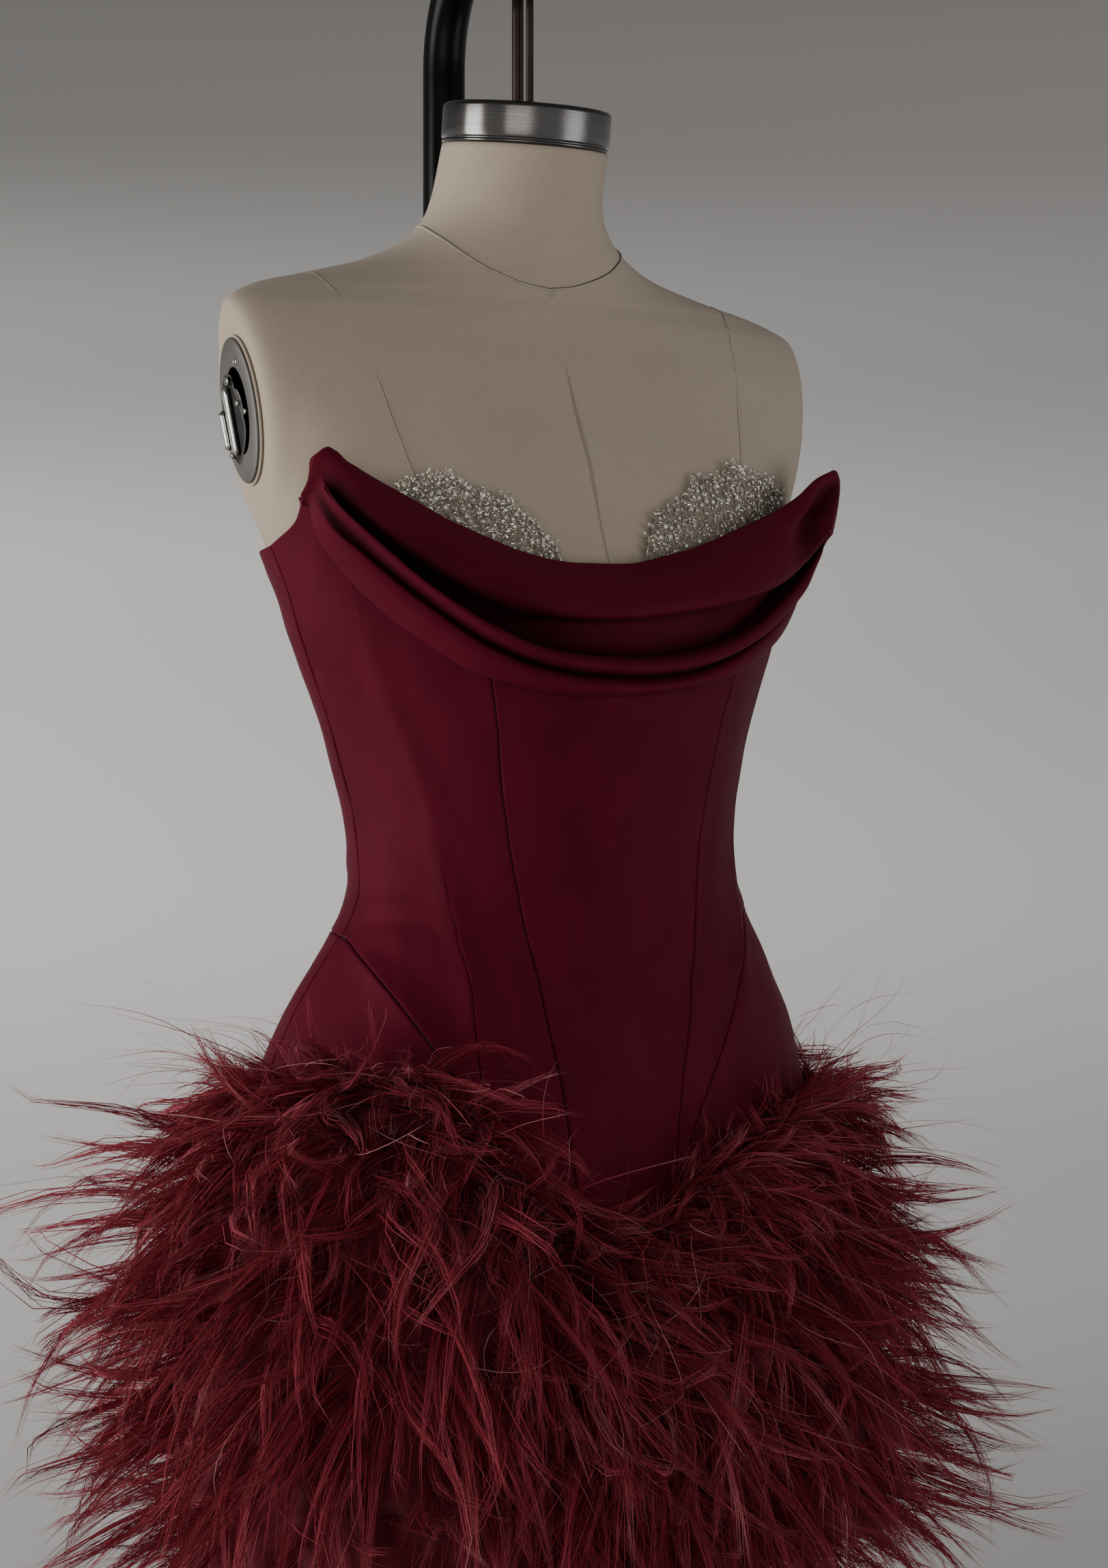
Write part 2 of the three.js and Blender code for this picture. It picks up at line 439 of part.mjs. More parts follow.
add('bodice_side_back_left', () => SIDE, () => BACK_SEAM, bodiceFoot, bodiceTop, 5, ROWS, EASE, OUTER, CREPE(), R);
const zipAngle = (z) => turn(z, 179, ZIP_HALF);
add('bodice_back_right', (z) => -180 + zipAngle(z), () => -BACK_SEAM, bodiceFoot, bodiceTop, 3, ROWS, EASE, OUTER, CREPE(), R);
add('bodice_back_left', () => BACK_SEAM, (z) => 180 - zipAngle(z), bodiceFoot, bodiceTop, 3, ROWS, EASE, OUTER, CREPE(), R);

// closed zip down the centre back, as narrow tapes over the closed teeth
{
  const rows = 14, top = neckAt(180) - 1.5, foot = 872, outer = [[], []], inner = [[], []];
  for (let j = 0; j <= rows; j++) {
    const z = lerp(foot, top, j / rows), a = turn(z, 179, ZIP_HALF - 0.35);
    [-1, 1].forEach((s, k) => {
      const p = 180 + s * a;
      outer[k].push(skin(z, p, OUTER - 0.5)); inner[k].push(skin(z, p, EASE + 0.5));
    });
  }
  group.add(wall('zip_centre_back', outer, inner, mat(0x45101d, 0.7)));
}

// ---------------------------------------------------------------- skirt panels
const skirtTop = (a) => basqueAt(a) - gapUp, skirtFoot = () => HEM_Z;
const RS = [590, 700, 1100];
const rise = (t) => 1 - (1 - t) ** 1.45;    // rows close up towards the waist
// columns close up towards the point of the basque
add('skirt_front_right', () => -90, () => 0, skirtFoot, skirtTop, 12, 9, EASE, OUTER, CREPE(), RS, (t) => 1 - (1 - t) ** 1.5, rise);
add('skirt_front_left', () => 0, () => 90, skirtFoot, skirtTop, 12, 9, EASE, OUTER, CREPE(), RS, (t) => t ** 1.5, rise);
// below the zip the centre back seam closes
add('skirt_back_right', (z) => -180 + zipAngle(z), () => -90, skirtFoot, skirtTop, 8, 9, EASE, OUTER, CREPE(), RS, undefined, rise);
add('skirt_back_left', () => 90, (z) => 180 - zipAngle(z), skirtFoot, skirtTop, 8, 9, EASE, OUTER, CREPE(), RS, undefined, rise);
{
  // narrow strip that closes the centre back between zip and hem
  const rows = 8, outer = [[], []], inner = [[], []];
  for (let j = 0; j <= rows; j++) {
    const z = lerp(HEM_Z, 871.4, j / rows), a = turn(z, 179, ZIP_HALF - 0.35);
    [-1, 1].forEach((s, k) => { outer[k].push(skin(z, 180 + s * a, OUTER)); inner[k].push(skin(z, 180 + s * a, EASE)); });
  }
  group.add(wall('skirt_back_seam', outer, inner, CREPE()));
}

// ------------------------------------------------------------------------ cowl
{
  const N = 30, outer = [], inner = [];
  for (let i = 0; i <= N; i++) {
    const t = -1 + 2 * i / N, s = Math.abs(t), co = [], ci = [];
    for (const r of COWL) {
      const z = r.z + (r.zEnd - r.z) * s ** r.bend, x = t * r.end;
      const off = lerp(r.out, r.outEnd, s ** COWL_HOLD), a = angleOf(z, x);
      co.push(skin(z, a, off)); ci.push(skin(z, a, off - DRAPE_WALL));
    }
    outer.push(co); inner.push(ci);
  }
  group.add(wall('cowl_drape', outer, inner, CREPE()));
}

// ------------------------------------------------------------ beaded lace cups
for (const [side, sx, rows, tail] of [['right', -1, LACE_RIGHT, 46], ['left', 1, LACE_LEFT, 53]]) {
  const top = curve(rows, 'at', 'z'), n = 14, a0 = rows[0].at, outer = [], inner = [];
  for (let i = 0; i <= n; i++) {
    const a = lerp(a0, tail, i / n), z0 = neckAt(a) + 0.8, z1 = top(a), co = [], ci = [];
    for (let j = 0; j <= 3; j++) {
      const z = lerp(z0, z1, j / 3);
      co.push(skin(z, sx * a, LACE_IN + LACE_WALL)); ci.push(skin(z, sx * a, LACE_IN));
    }
    outer.push(co); inner.push(ci);
  }
  group.add(wall(`lace_cup_${side}`, outer, inner, LACE()));
}

// --------------------------------------------------------------- feather tiers
{
  const start = { right: curve(FEATHER_TOP, 'at', 'right'), left: curve(FEATHER_TOP, 'at', 'left') };
  const reach = curve(FEATHER_REACH, 'down', 'out');
  const names = ['feather_tier_top', 'feather_tier_middle', 'feather_tier_hem'];
  for (let k = 0; k < TIERS; k++) {
    const N = 36, rows = 3, outer = [], inner = [];
    for (let i = 0; i <= N; i++) {
      const u = -1 + 2 * i / N;
      const co = [], ci = [];
      for (let j = 0; j <= rows; j++) {
        const top = start[u < 0 ? 'right' : 'left'](Math.abs(180 * u));
        const z0 = lerp(top, FEATHER_HEM_Z, k / TIERS) - (k ? 0.6 : 0), z1 = lerp(top, FEATHER_HEM_Z, (k + 1) / TIERS);
        const z = lerp(z0, z1, j / rows);
        // each face ends where it comes to the slit behind
        const at = (off) => skin(z, u * lastAngle(z, off), off);
        co.push(at(OUTER + reach(top - z))); ci.push(at(FEATHER_IN));
      }
      outer.push(co); inner.push(ci);
    }
    group.add(wall(names[k], outer, inner, FEATHER()));
  }
}
// the angle at which the face that stands off by off comes to the slit
function lastAngle(z, off) {
  let lo = 120, hi = 180;
  for (let k = 0; k < 40; k++) { const a = (lo + hi) / 2; if (skin(z, a, off)[0] > BACK_SLIT) lo = a; else hi = a; }
  return lo;
}

export default group;
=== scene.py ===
# Strapless corset dress with a cowl neckline and an ostrich feather hem, on a
# limbless linen dress form and its stand. All working sizes here are millimetres in
# the frame of the part (+Z up, dress facing -Y); meshes are written in metres.
import math
import bpy
import numpy as np
from mathutils import Matrix, Vector


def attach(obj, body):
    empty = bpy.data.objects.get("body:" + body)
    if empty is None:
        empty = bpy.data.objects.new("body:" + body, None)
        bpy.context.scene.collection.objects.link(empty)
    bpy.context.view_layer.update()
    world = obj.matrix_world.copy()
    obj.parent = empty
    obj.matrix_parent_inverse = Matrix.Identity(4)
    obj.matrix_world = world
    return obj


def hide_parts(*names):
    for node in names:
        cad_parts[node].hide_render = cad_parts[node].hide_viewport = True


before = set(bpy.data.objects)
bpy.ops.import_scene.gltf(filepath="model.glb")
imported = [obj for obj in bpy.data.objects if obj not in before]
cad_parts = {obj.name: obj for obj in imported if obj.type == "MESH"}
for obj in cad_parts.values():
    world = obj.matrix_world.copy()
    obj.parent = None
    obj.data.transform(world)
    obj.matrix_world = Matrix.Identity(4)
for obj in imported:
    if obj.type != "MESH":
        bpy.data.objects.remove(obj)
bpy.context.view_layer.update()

# ------------------------------------------------------------------------ camera
cam_data = bpy.data.cameras.new("camera")
cam_data.lens = 75.26
cam_data.sensor_width = 36.0
cam_data.clip_end = 60.0
camera = bpy.data.objects.new("camera", cam_data)
bpy.context.scene.collection.objects.link(camera)
camera.location = (-0.99402, -1.73550, 1.097)
camera.rotation_mode = "QUATERNION"
camera.rotation_quaternion = Vector((0.5, 0.8660254, 0)).to_track_quat("-Z", "Y")
bpy.context.scene.camera = camera

# ----------------------------------------------------------------- driving sizes
EASE, CLOTH, OUTER = 2.5, 2.5, 5.0
HEM_Z, TORSO_BOTTOM, NECK_TOP, NECK_TILT = 622.0, 760.0, 1487.5, 8.0
RING_R, RING_H, RING_Y = 52.0, 25.0, 22.0
POLE_R, POLE_Y, POLE_BEND, POLE_TOP, POLE_REACH = 13.5, 128.0, 90.0, 1556.0, 44.0
ARM_Y, ARM_Z, ARM_W, ARM_H, ARM_X, ARM_LEAN, ARM_T = 27.0, 1317.0, 23.0, 43.0, 187.5, 0.15, 3.2
BUST_X, BUST_Z, BUST_OUT, BUST_W, BUST_H = 82.0, 1203.0, 7.0, 34.0, 38.0
CORNER_AT, CORNER_SPREAD, CORNER_OUT, CORNER_FROM, CORNER_TO = 57.0, 11.0, 19.0, 1225.0, 1280.0
SIDE, BACK_SEAM, ZIP_HALF = 88.0, 146.0, 2.6
BACK_SLIT = 21.0

# z, half width, y of the widest line, front y, back y, front and back roundness
FORM = np.array([
    [600, 168, 4, -92, 90, 2.2, 2.2], [680, 171, 4, -95, 94, 2.2, 2.2],
    [740, 173, 5, -98, 96, 2.2, 2.2], [800, 176, 6, -100, 98, 2.2, 2.2],
    [860, 178, 8, -101, 99, 2.2, 2.2], [905, 176, 11, -100, 98, 2.15, 2.2],
    [930, 172, 12, -99, 96, 2.1, 2.15], [950, 165, 8, -98, 94, 2.1, 2.1],
    [970, 156, 4, -97, 90, 2.05, 2.1], [985, 148, 1, -96, 86, 2, 2.05],
    [1002, 137.5, -1, -95, 82, 2, 2], [1020, 127, -1, -94, 79, 2, 2],
    [1038, 121.5, 1, -94, 77, 2, 2], [1058, 120, 6, -94, 76, 2, 2],
    [1080, 121.5, 10, -95.5, 78, 2, 2], [1105, 126.5, 14, -98, 81, 2, 2],
    [1130, 133, 16, -99, 85, 2, 2], [1160, 144.5, 15, -98, 90, 2, 2],
    [1185, 155, 12, -93, 94, 2, 2.05], [1210, 162.5, 13, -87, 97, 2.05, 2.1],
    [1235, 171, 17, -79, 99, 2.1, 2.2], [1260, 179, 21, -69, 101, 2.2, 2.2],
    [1290, 189, 23, -56, 104, 2.3, 2.2], [1320, 197, 21, -41, 106, 2.4, 2.2],
    [1350, 202, 22, -27, 106, 2.3, 2.1], [1366, 203, 24, -19, 105, 2.1, 2],
    [1380, 199, 28, -13, 103, 1.9, 1.85], [1393, 180, 34, -8.5, 100.5, 1.65, 1.6],
    [1404, 141, 40, -7.5, 98, 1.6, 1.55], [1415, 102, 43, -9, 96, 1.7, 1.65],
    [1426, 78, 42, -12, 93.5, 1.85, 1.85], [1438, 62.5, 38.5, -15, 91, 1.95, 1.95],
    [1450, 55, 34.5, -18.5, 87.5, 2, 2], [1465, 52, 29.5, -22, 81.5, 2, 2],
    [1487.5, 51, 22, -29, 73, 2, 2],
])
# seam angles by height: z, wearer's right, wearer's left
PRINCESS = np.array([
    [818, 7, 6], [862, 10, 8], [900, 12, 9.5], [945, 16, 13], [985, 22, 18], [1005, 26, 21.5],
    [1030, 30.5, 25], [1060, 33.5, 27.5], [1096, 35, 30], [1130, 34.5, 32], [1160, 34, 34], [1290, 33, 33],
])
SIDE_FRONT = np.array([
    [860, 28, 28], [912, 29, 29], [930, 30.5, 30.5], [960, 34, 34], [984, 38, 38], [1007, 44.5, 45],
    [1038, 52, 52], [1097, 57.5, 57.5], [1156, 62, 62], [1210, 62, 62], [1290, 58, 58],
])
# basque seam height by angle: angle, right, left
BASQUE = np.array([
    [0, 818, 818], [8, 832, 862], [14, 849, 901], [21, 872, 933], [26, 891, 953], [31, 910, 969],
    [36, 929, 982], [42, 946, 996], [50, 964, 1010], [60, 981, 1020], [72, 995, 1023],
    [88, 1007, 1020], [120, 1010, 1012], [180, 1000, 1000],
])
NECKLINE = np.array([
    [0, 1218], [11, 1220.5], [20, 1226], [30, 1238], [40, 1254], [48, 1268], [54, 1278], [58, 1277],
    [62, 1270], [67, 1260], [73, 1249], [82, 1241], [90, 1236.5], [110, 1234], [146, 1229], [180, 1226],
])
LACE_RIGHT = np.array([[11, 1232], [13, 1246], [17, 1258], [21, 1265], [26, 1271], [31, 1274], [36, 1272], [41, 1265]])
LACE_LEFT = np.array([[7, 1233], [9, 1248], [13, 1262], [19, 1275], [25, 1284], [31, 1289], [36, 1288], [42, 1284], [49, 1279], [53, 1272]])
FEATHER_TOP = np.array([
    [0, 812, 812], [8, 824, 848], [14, 842, 862], [21, 864, 874], [28, 892, 882],
    [36, 910, 890], [50, 916, 896], [72, 917, 903], [100, 916, 910], [180, 912, 912],
])
FEATHER_REACH = np.array([[0, 9], [14, 32], [38, 58], [75, 86], [120, 104], [175, 115], [235, 119], [320, 117]])


# ----------------------------------------------------------------------- helpers
class Curve:
    """Smooth monotone curve through a table, for whole arrays at once."""

    def __init__(self, x, y):
        x, y = np.asarray(x, float), np.asarray(y, float)
        h, n = np.diff(x), len(x)
        d = np.diff(y) / h
        m = np.zeros(n)
        m[0], m[-1] = d[0], d[-1]
        for i in range(1, n - 1):
            if d[i - 1] * d[i] > 0:
                w1, w2 = 2 * h[i] + h[i - 1], h[i] + 2 * h[i - 1]
                m[i] = (w1 + w2) / (w1 / d[i - 1] + w2 / d[i])
        self.x, self.y, self.m, self.h = x, y, m, h

    def __call__(self, v):
        v = np.clip(np.asarray(v, float), self.x[0], self.x[-1])
        i = np.clip(np.searchsorted(self.x, v, side="right") - 1, 0, len(self.x) - 2)
        t = (v - self.x[i]) / self.h[i]
        t2, t3 = t * t, t * t * t
        return ((2 * t3 - 3 * t2 + 1) * self.y[i] + (t3 - 2 * t2 + t) * self.h[i] * self.m[i]
                + (3 * t2 - 2 * t3) * self.y[i + 1] + (t3 - t2) * self.h[i] * self.m[i + 1])


F_HALF, F_MID, F_FRONT, F_BACK, F_NF, F_NB = [Curve(FORM[:, 0], FORM[:, k]) for k in range(1, 7)]
rad = np.radians


def smooth(a, b, v):
    t = np.clip((np.asarray(v, float) - a) / (b - a), 0, 1)
    return t * t * (3 - 2 * t)


def lerp(a, b, t):
    return a + (b - a) * t


def unit(v):
    return v / np.maximum(np.linalg.norm(v, axis=-1, keepdims=True), 1e-9)


def skin(z, psi, off=0.0):
    """Points on the form at height z and angle psi (0 front, 90 wearer's left), moved out by off."""
    z, psi, off = np.broadcast_arrays(*[np.asarray(a, float) for a in (z, psi, off)])
    half, mid = F_HALF(z), F_MID(z)
    s, c = np.sin(rad(psi)), np.cos(rad(psi))
    ahead = c >= 0
    deep = np.where(ahead, mid - F_FRONT(z), F_BACK(z) - mid)
    n = np.where(ahead, F_NF(z), F_NB(z))
    a, b = np.abs(s), np.abs(c)
    x, y = half * a ** (2 / n), deep * b ** (2 / n)
    nx, ny = a ** (2 - 2 / n) / half, b ** (2 - 2 / n) / deep
    ln = np.maximum(np.hypot(nx, ny), 1e-12)
    x, y = x + off * nx / ln, y + off * ny / ln
    bust = BUST_OUT * np.exp(-((x - BUST_X) / BUST_W) ** 2 - ((z - BUST_Z) / BUST_H) ** 2)
    yy = mid + np.where(ahead, -y - bust, y)
    return np.stack([np.where(s < 0, -x, x), yy, z], -1)


def corner(z, psi):
    return CORNER_OUT * smooth(CORNER_FROM, CORNER_TO, z) * np.exp(-(((np.abs(psi) - CORNER_AT) / CORNER_SPREAD) ** 2))


def dress(z, psi, off):
    return skin(z, psi, off + corner(z, psi))


def per_degree(z, psi):
    """Millimetres along the cloth for each degree, here."""
    d = dress(z, psi + 0.5, OUTER) - dress(z, psi - 0.5, OUTER)
    return np.maximum(np.hypot(d[..., 0], d[..., 1]), 0.3)


def wander(p, seed, size):
    """Smooth value noise of about unit height on points p (mm), with the given cell size."""
    r = np.random.default_rng(seed)
    out = np.zeros(p.shape[:-1])
    for k in range(5):
        w = r.normal(size=3) / size * (1.0 + 0.5 * k)
        out += np.sin(p @ w * 2.2 + r.uniform(0, 6.28)) / (1 + 0.4 * k)
    return out / 2.2


def mesh_object(name, co, faces, mats, uv=None, flat=None, shade=None, which=None, sharp=None):
    """A mesh object from points in mm and faces (n, 3 or 4), with a map in mm and a shade for each point."""
    co, f = np.asarray(co, np.float32).reshape(-1, 3) * 0.001, np.asarray(faces, np.int32)
    n, k = f.shape
    me = bpy.data.meshes.new(name)
    me.vertices.add(len(co))
    me.vertices.foreach_set("co", co.ravel())
    me.loops.add(n * k)
    me.loops.foreach_set("vertex_index", f.ravel())
    me.polygons.add(n)
    me.polygons.foreach_set("loop_start", np.arange(n, dtype=np.int32) * k)
    me.polygons.foreach_set("use_smooth", np.full(n, not flat, bool))
    for m in (mats if isinstance(mats, (list, tuple)) else [mats]):
        me.materials.append(m)
    if which is not None:
        me.polygons.foreach_set("material_index", np.asarray(which, np.int32))
    if uv is not None:
        layer = me.uv_layers.new(name="weave")
        layer.uv.foreach_set("vector", np.asarray(uv, np.float32).reshape(-1, 2)[f.ravel()].ravel())
    if shade is not None:
        at = me.attributes.new("shade", "FLOAT", "POINT")
        at.data.foreach_set("value", np.asarray(shade, np.float32).ravel())
    me.update(calc_edges=True)
    ob = bpy.data.objects.new(name, me)
    bpy.context.scene.collection.objects.link(ob)
    return ob


def facing_out(co, faces):
    """Faces turned so that the closed body they bound has a positive volume."""
    tri = np.concatenate([faces[:, [0, 1, 2]], faces[:, [0, 2, 3]]]) if faces.shape[1] == 4 else faces
    a, b, c = co[tri[:, 0]], co[tri[:, 1]], co[tri[:, 2]]
    return faces if (a * np.cross(b, c)).sum() > 0 else faces[:, ::-1]


def grid_faces(ni, nj, start=0, wrap=False):
    i, j = np.meshgrid(np.arange(ni if wrap else ni - 1), np.arange(nj - 1), indexing="ij")
    i, j = i.ravel(), j.ravel()
    i2 = (i + 1) % ni
    return np.stack([i * nj + j, i2 * nj + j, i2 * nj + j + 1, i * nj + j + 1], 1) + start


def shell(outer, inner, uv=None):
    """A closed thin wall from two grids (i, j, 3), its four edges rolled round."""
    ni, nj = outer.shape[:2]
    # rim: the edge points half way between the faces, pushed out past the edge
    ring_i = np.concatenate([np.arange(ni), np.full(nj - 1, ni - 1), np.arange(ni - 2, -1, -1), np.zeros(nj - 2, int)])
    ring_j = np.concatenate([np.zeros(ni, int), np.arange(1, nj), np.full(ni - 1, nj - 1), np.arange(nj - 2, 0, -1)])
    in_i = np.clip(ring_i, 1, ni - 2)
    in_j = np.clip(ring_j, 1, nj - 2)
    o, q = outer[ring_i, ring_j], inner[ring_i, ring_j]
    mid = (o + q) / 2
    away = unit(outer[ring_i, ring_j] - outer[in_i, in_j])
    wall = o - q
    t = np.linalg.norm(wall, axis=1, keepdims=True)
    w = wall / np.maximum(t, 1e-9)
    away = unit(away - (away * w).sum(1, keepdims=True) * w)
    rim = mid + away * t * 0.42
    co = np.concatenate([outer.reshape(-1, 3), inner.reshape(-1, 3), rim])
    n = ni * nj
    f = [grid_faces(ni, nj), grid_faces(ni, nj, n)[:, ::-1]]
    m = len(ring_i)
    k, k2 = np.arange(m), (np.arange(m) + 1) % m
    ov, qv, rv = ring_i * nj + ring_j, n + ring_i * nj + ring_j, 2 * n + k
    f.append(np.stack([ov[k2], ov, rv, rv[k2]], 1))
    f.append(np.stack([rv[k2], rv, qv, qv[k2]], 1))
    faces = facing_out(co, np.concatenate(f))
    if uv is not None:
        u = uv.reshape(-1, 2)
        uv = np.concatenate([u, u, uv[ring_i, ring_j]])
    return co, faces, uv


def grid_map(g):
    """A map in mm for a grid: length along i at each j, and along j at each i."""
    du = np.linalg.norm(np.diff(g, axis=0), axis=2)
    dv = np.linalg.norm(np.diff(g, axis=1), axis=2)
    u = np.concatenate([np.zeros((1, g.shape[1])), np.cumsum(du, 0)])
    u -= u[-1:] / 2
    v = np.concatenate([np.zeros((g.shape[0], 1)), np.cumsum(dv, 1)], 1)
    return np.stack([u, np.broadcast_to(v.mean(0, keepdims=True), u.shape)], -1)


def area_of(g):
    a, b, c, d = g[:-1, :-1], g[1:, :-1], g[1:, 1:], g[:-1, 1:]
    return float(np.linalg.norm(np.cross(b - a, c - a), axis=-1).sum() + np.linalg.norm(np.cross(c - a, d - a), axis=-1).sum()) / 2


def normals_of(g):
    gi, gj = np.gradient(g, axis=0), np.gradient(g, axis=1)
    return unit(np.cross(gi, gj))


def lathe(profile, n=72):
    """A closed turned body about Z from (radius, height) pairs that start and end on the axis."""
    a = np.linspace(0, 2 * np.pi, n, endpoint=False)
    pr = np.asarray(profile, float)
    body = pr[1:-1]
    co = np.stack([np.outer(np.cos(a), body[:, 0]), np.outer(np.sin(a), body[:, 0]), np.broadcast_to(body[:, 1], (n, len(body)))], -1).reshape(-1, 3)
    f = grid_faces(n, len(body), wrap=True)
    co = np.concatenate([co, [[0, 0, pr[0, 1]], [0, 0, pr[-1, 1]]]])
    k, k2 = np.arange(n), (np.arange(n) + 1) % n
    m = len(body)
    lo, hi = n * m, n * m + 1
    caps = np.concatenate([np.stack([k * m, np.full(n, lo), k2 * m], 1), np.stack([k * m + m - 1, k2 * m + m - 1, np.full(n, hi)], 1)])
    return co, f, caps


def tris_of(quads):
    return np.concatenate([quads[:, [0, 1, 2]], quads[:, [0, 2, 3]]])


def turned(name, profile, mats, place=None, n=72, uv=True):
    co, f, caps = lathe(profile, n)
    faces = facing_out(co, np.concatenate([tris_of(f), caps]))
    a = np.arctan2(co[:, 1], co[:, 0])
    m = np.stack([a * 50, co[:, 2]], 1)
    if place is not None:
        co = co @ np.array(place.to_3x3()).T + np.array(place.translation)
    return mesh_object(name, co, faces, mats, uv=m)


def tube(name, path, radius, mats, n=10, closed=False, flat=None):
    """A round tube along a path (k, 3); radius may change along it."""
    co, faces = tube_parts(path, radius, n, closed)
    return mesh_object(name, co, faces, mats, uv=np.zeros((len(co), 2)), flat=flat)


def tube_parts(path, radius, n=10, closed=False):
    p = np.asarray(path, float)
    k = len(p)
    t = unit(np.roll(p, -1, 0) - np.roll(p, 1, 0)) if closed else unit(np.gradient(p, axis=0))
    ref = np.array([0.0, 0.0, 1.0]) if abs(t[0, 2]) < 0.9 else np.array([1.0, 0.0, 0.0])
    e1 = np.zeros_like(p)
    v = ref
    for i in range(k):  # carried along without twist
        v = v - t[i] * (v @ t[i])
        v = v / max(np.linalg.norm(v), 1e-9)
        e1[i] = v
    e2 = np.cross(t, e1)
    a = np.linspace(0, 2 * np.pi, n, endpoint=False)
    r = np.broadcast_to(np.asarray(radius, float), (k,))
    co = p[:, None] + r[:, None, None] * (np.cos(a)[None, :, None] * e1[:, None] + np.sin(a)[None, :, None] * e2[:, None])
    co = co.reshape(-1, 3)
    i, j = np.meshgrid(np.arange(k if closed else k - 1), np.arange(n), indexing="ij")
    i, j = i.ravel(), j.ravel()
    i2, j2 = (i + 1) % k, (j + 1) % n
    f = tris_of(np.stack([i * n + j, i * n + j2, i2 * n + j2, i2 * n + j], 1))
    if not closed:
        co = np.concatenate([co, p[:1], p[-1:]])
        jj, jj2 = np.arange(n), (np.arange(n) + 1) % n
        f = np.concatenate([f, np.stack([jj2, jj, np.full(n, k * n)], 1), np.stack([(k - 1) * n + jj, (k - 1) * n + jj2, np.full(n, k * n + 1)], 1)])
    return co, facing_out(co, f)


# --------------------------------------------------------------------- materials
class Mat:
    """A procedural material: helpers that add nodes round one Principled shader."""

    def __init__(self, name, **sockets):
        self.m = bpy.data.materials.new(name)
        self.m.use_nodes = True
        self.t = self.m.node_tree
        self.n, self.l = self.t.nodes, self.t.links
        self.p = self.n["Principled BSDF"]
        for k, v in sockets.items():
            self.p.inputs[k.replace("_", " ")].default_value = v

    def node(self, kind, **props):
        n = self.n.new("ShaderNode" + kind)
        for k, v in props.items():
            if k in n.inputs:
                n.inputs[k].default_value = v
            else:
                setattr(n, k, v)
        return n

    def weave(self):
        return self.node("UVMap", uv_map="weave").outputs["UV"]

    def place(self):
        return self.node("TexCoord").outputs["Object"]

    def scaled(self, vector, x, y, z=1.0, turn=0.0):
        mp = self.node("Mapping")
        mp.inputs["Scale"].default_value = (x, y, z)
        mp.inputs["Rotation"].default_value = (0, 0, turn)
        self.l.new(vector, mp.inputs["Vector"])
        return mp.outputs["Vector"]

    def noise(self, vector, scale, detail=3.0, rough=0.55):
        n = self.node("TexNoise")
        n.inputs["Scale"].default_value = scale
        n.inputs["Detail"].default_value = detail
        n.inputs["Roughness"].default_value = rough
        self.l.new(vector, n.inputs["Vector"])
        return n.outputs["Fac"]

    def wave(self, vector, scale, direction="X", distortion=0.0):
        n = self.node("TexWave", wave_type="BANDS", bands_direction=direction)
        n.inputs["Scale"].default_value = scale
        n.inputs["Distortion"].default_value = distortion
        self.l.new(vector, n.inputs["Vector"])
        return n.outputs["Fac"]

    def math(self, op, a, b, clamp=False):
        n = self.node("Math", operation=op, use_clamp=clamp)
        for k, v in enumerate((a, b)):
            if isinstance(v, (int, float)):
                n.inputs[k].default_value = v
            else:
                self.l.new(v, n.inputs[k])
        return n.outputs[0]

    def ramp(self, fac, stops, smooth_it=True):
        n = self.node("ValToRGB")
        cr = n.color_ramp
        cr.interpolation = "EASE" if smooth_it else "LINEAR"
        while len(cr.elements) < len(stops):
            cr.elements.new(0.5)
        for e, (at, c) in zip(cr.elements, stops):
            e.position = at
            e.color = (*c, 1) if len(c) == 3 else c
        self.l.new(fac, n.inputs["Fac"])
        return n.outputs["Color"]

    def color(self, socket):
        self.l.new(socket, self.p.inputs["Base Color"])
        return self

    def rough(self, fac, low, high):
        n = self.node("MapRange")
        n.inputs["To Min"].default_value = low
        n.inputs["To Max"].default_value = high
        self.l.new(fac, n.inputs["Value"])
        self.l.new(n.outputs["Result"], self.p.inputs["Roughness"])
        return self

    def bump(self, *layers):
        """layers: (height socket, distance in metres, strength)"""
        last = None
        for height, distance, strength in layers:
            b = self.node("Bump")
            b.inputs["Distance"].default_value = distance
            b.inputs["Strength"].default_value = strength
            self.l.new(height, b.inputs["Height"])
            if last is not None:
                self.l.new(last, b.inputs["Normal"])
            last = b.outputs["Normal"]
        self.l.new(last, self.p.inputs["Normal"])
        return self


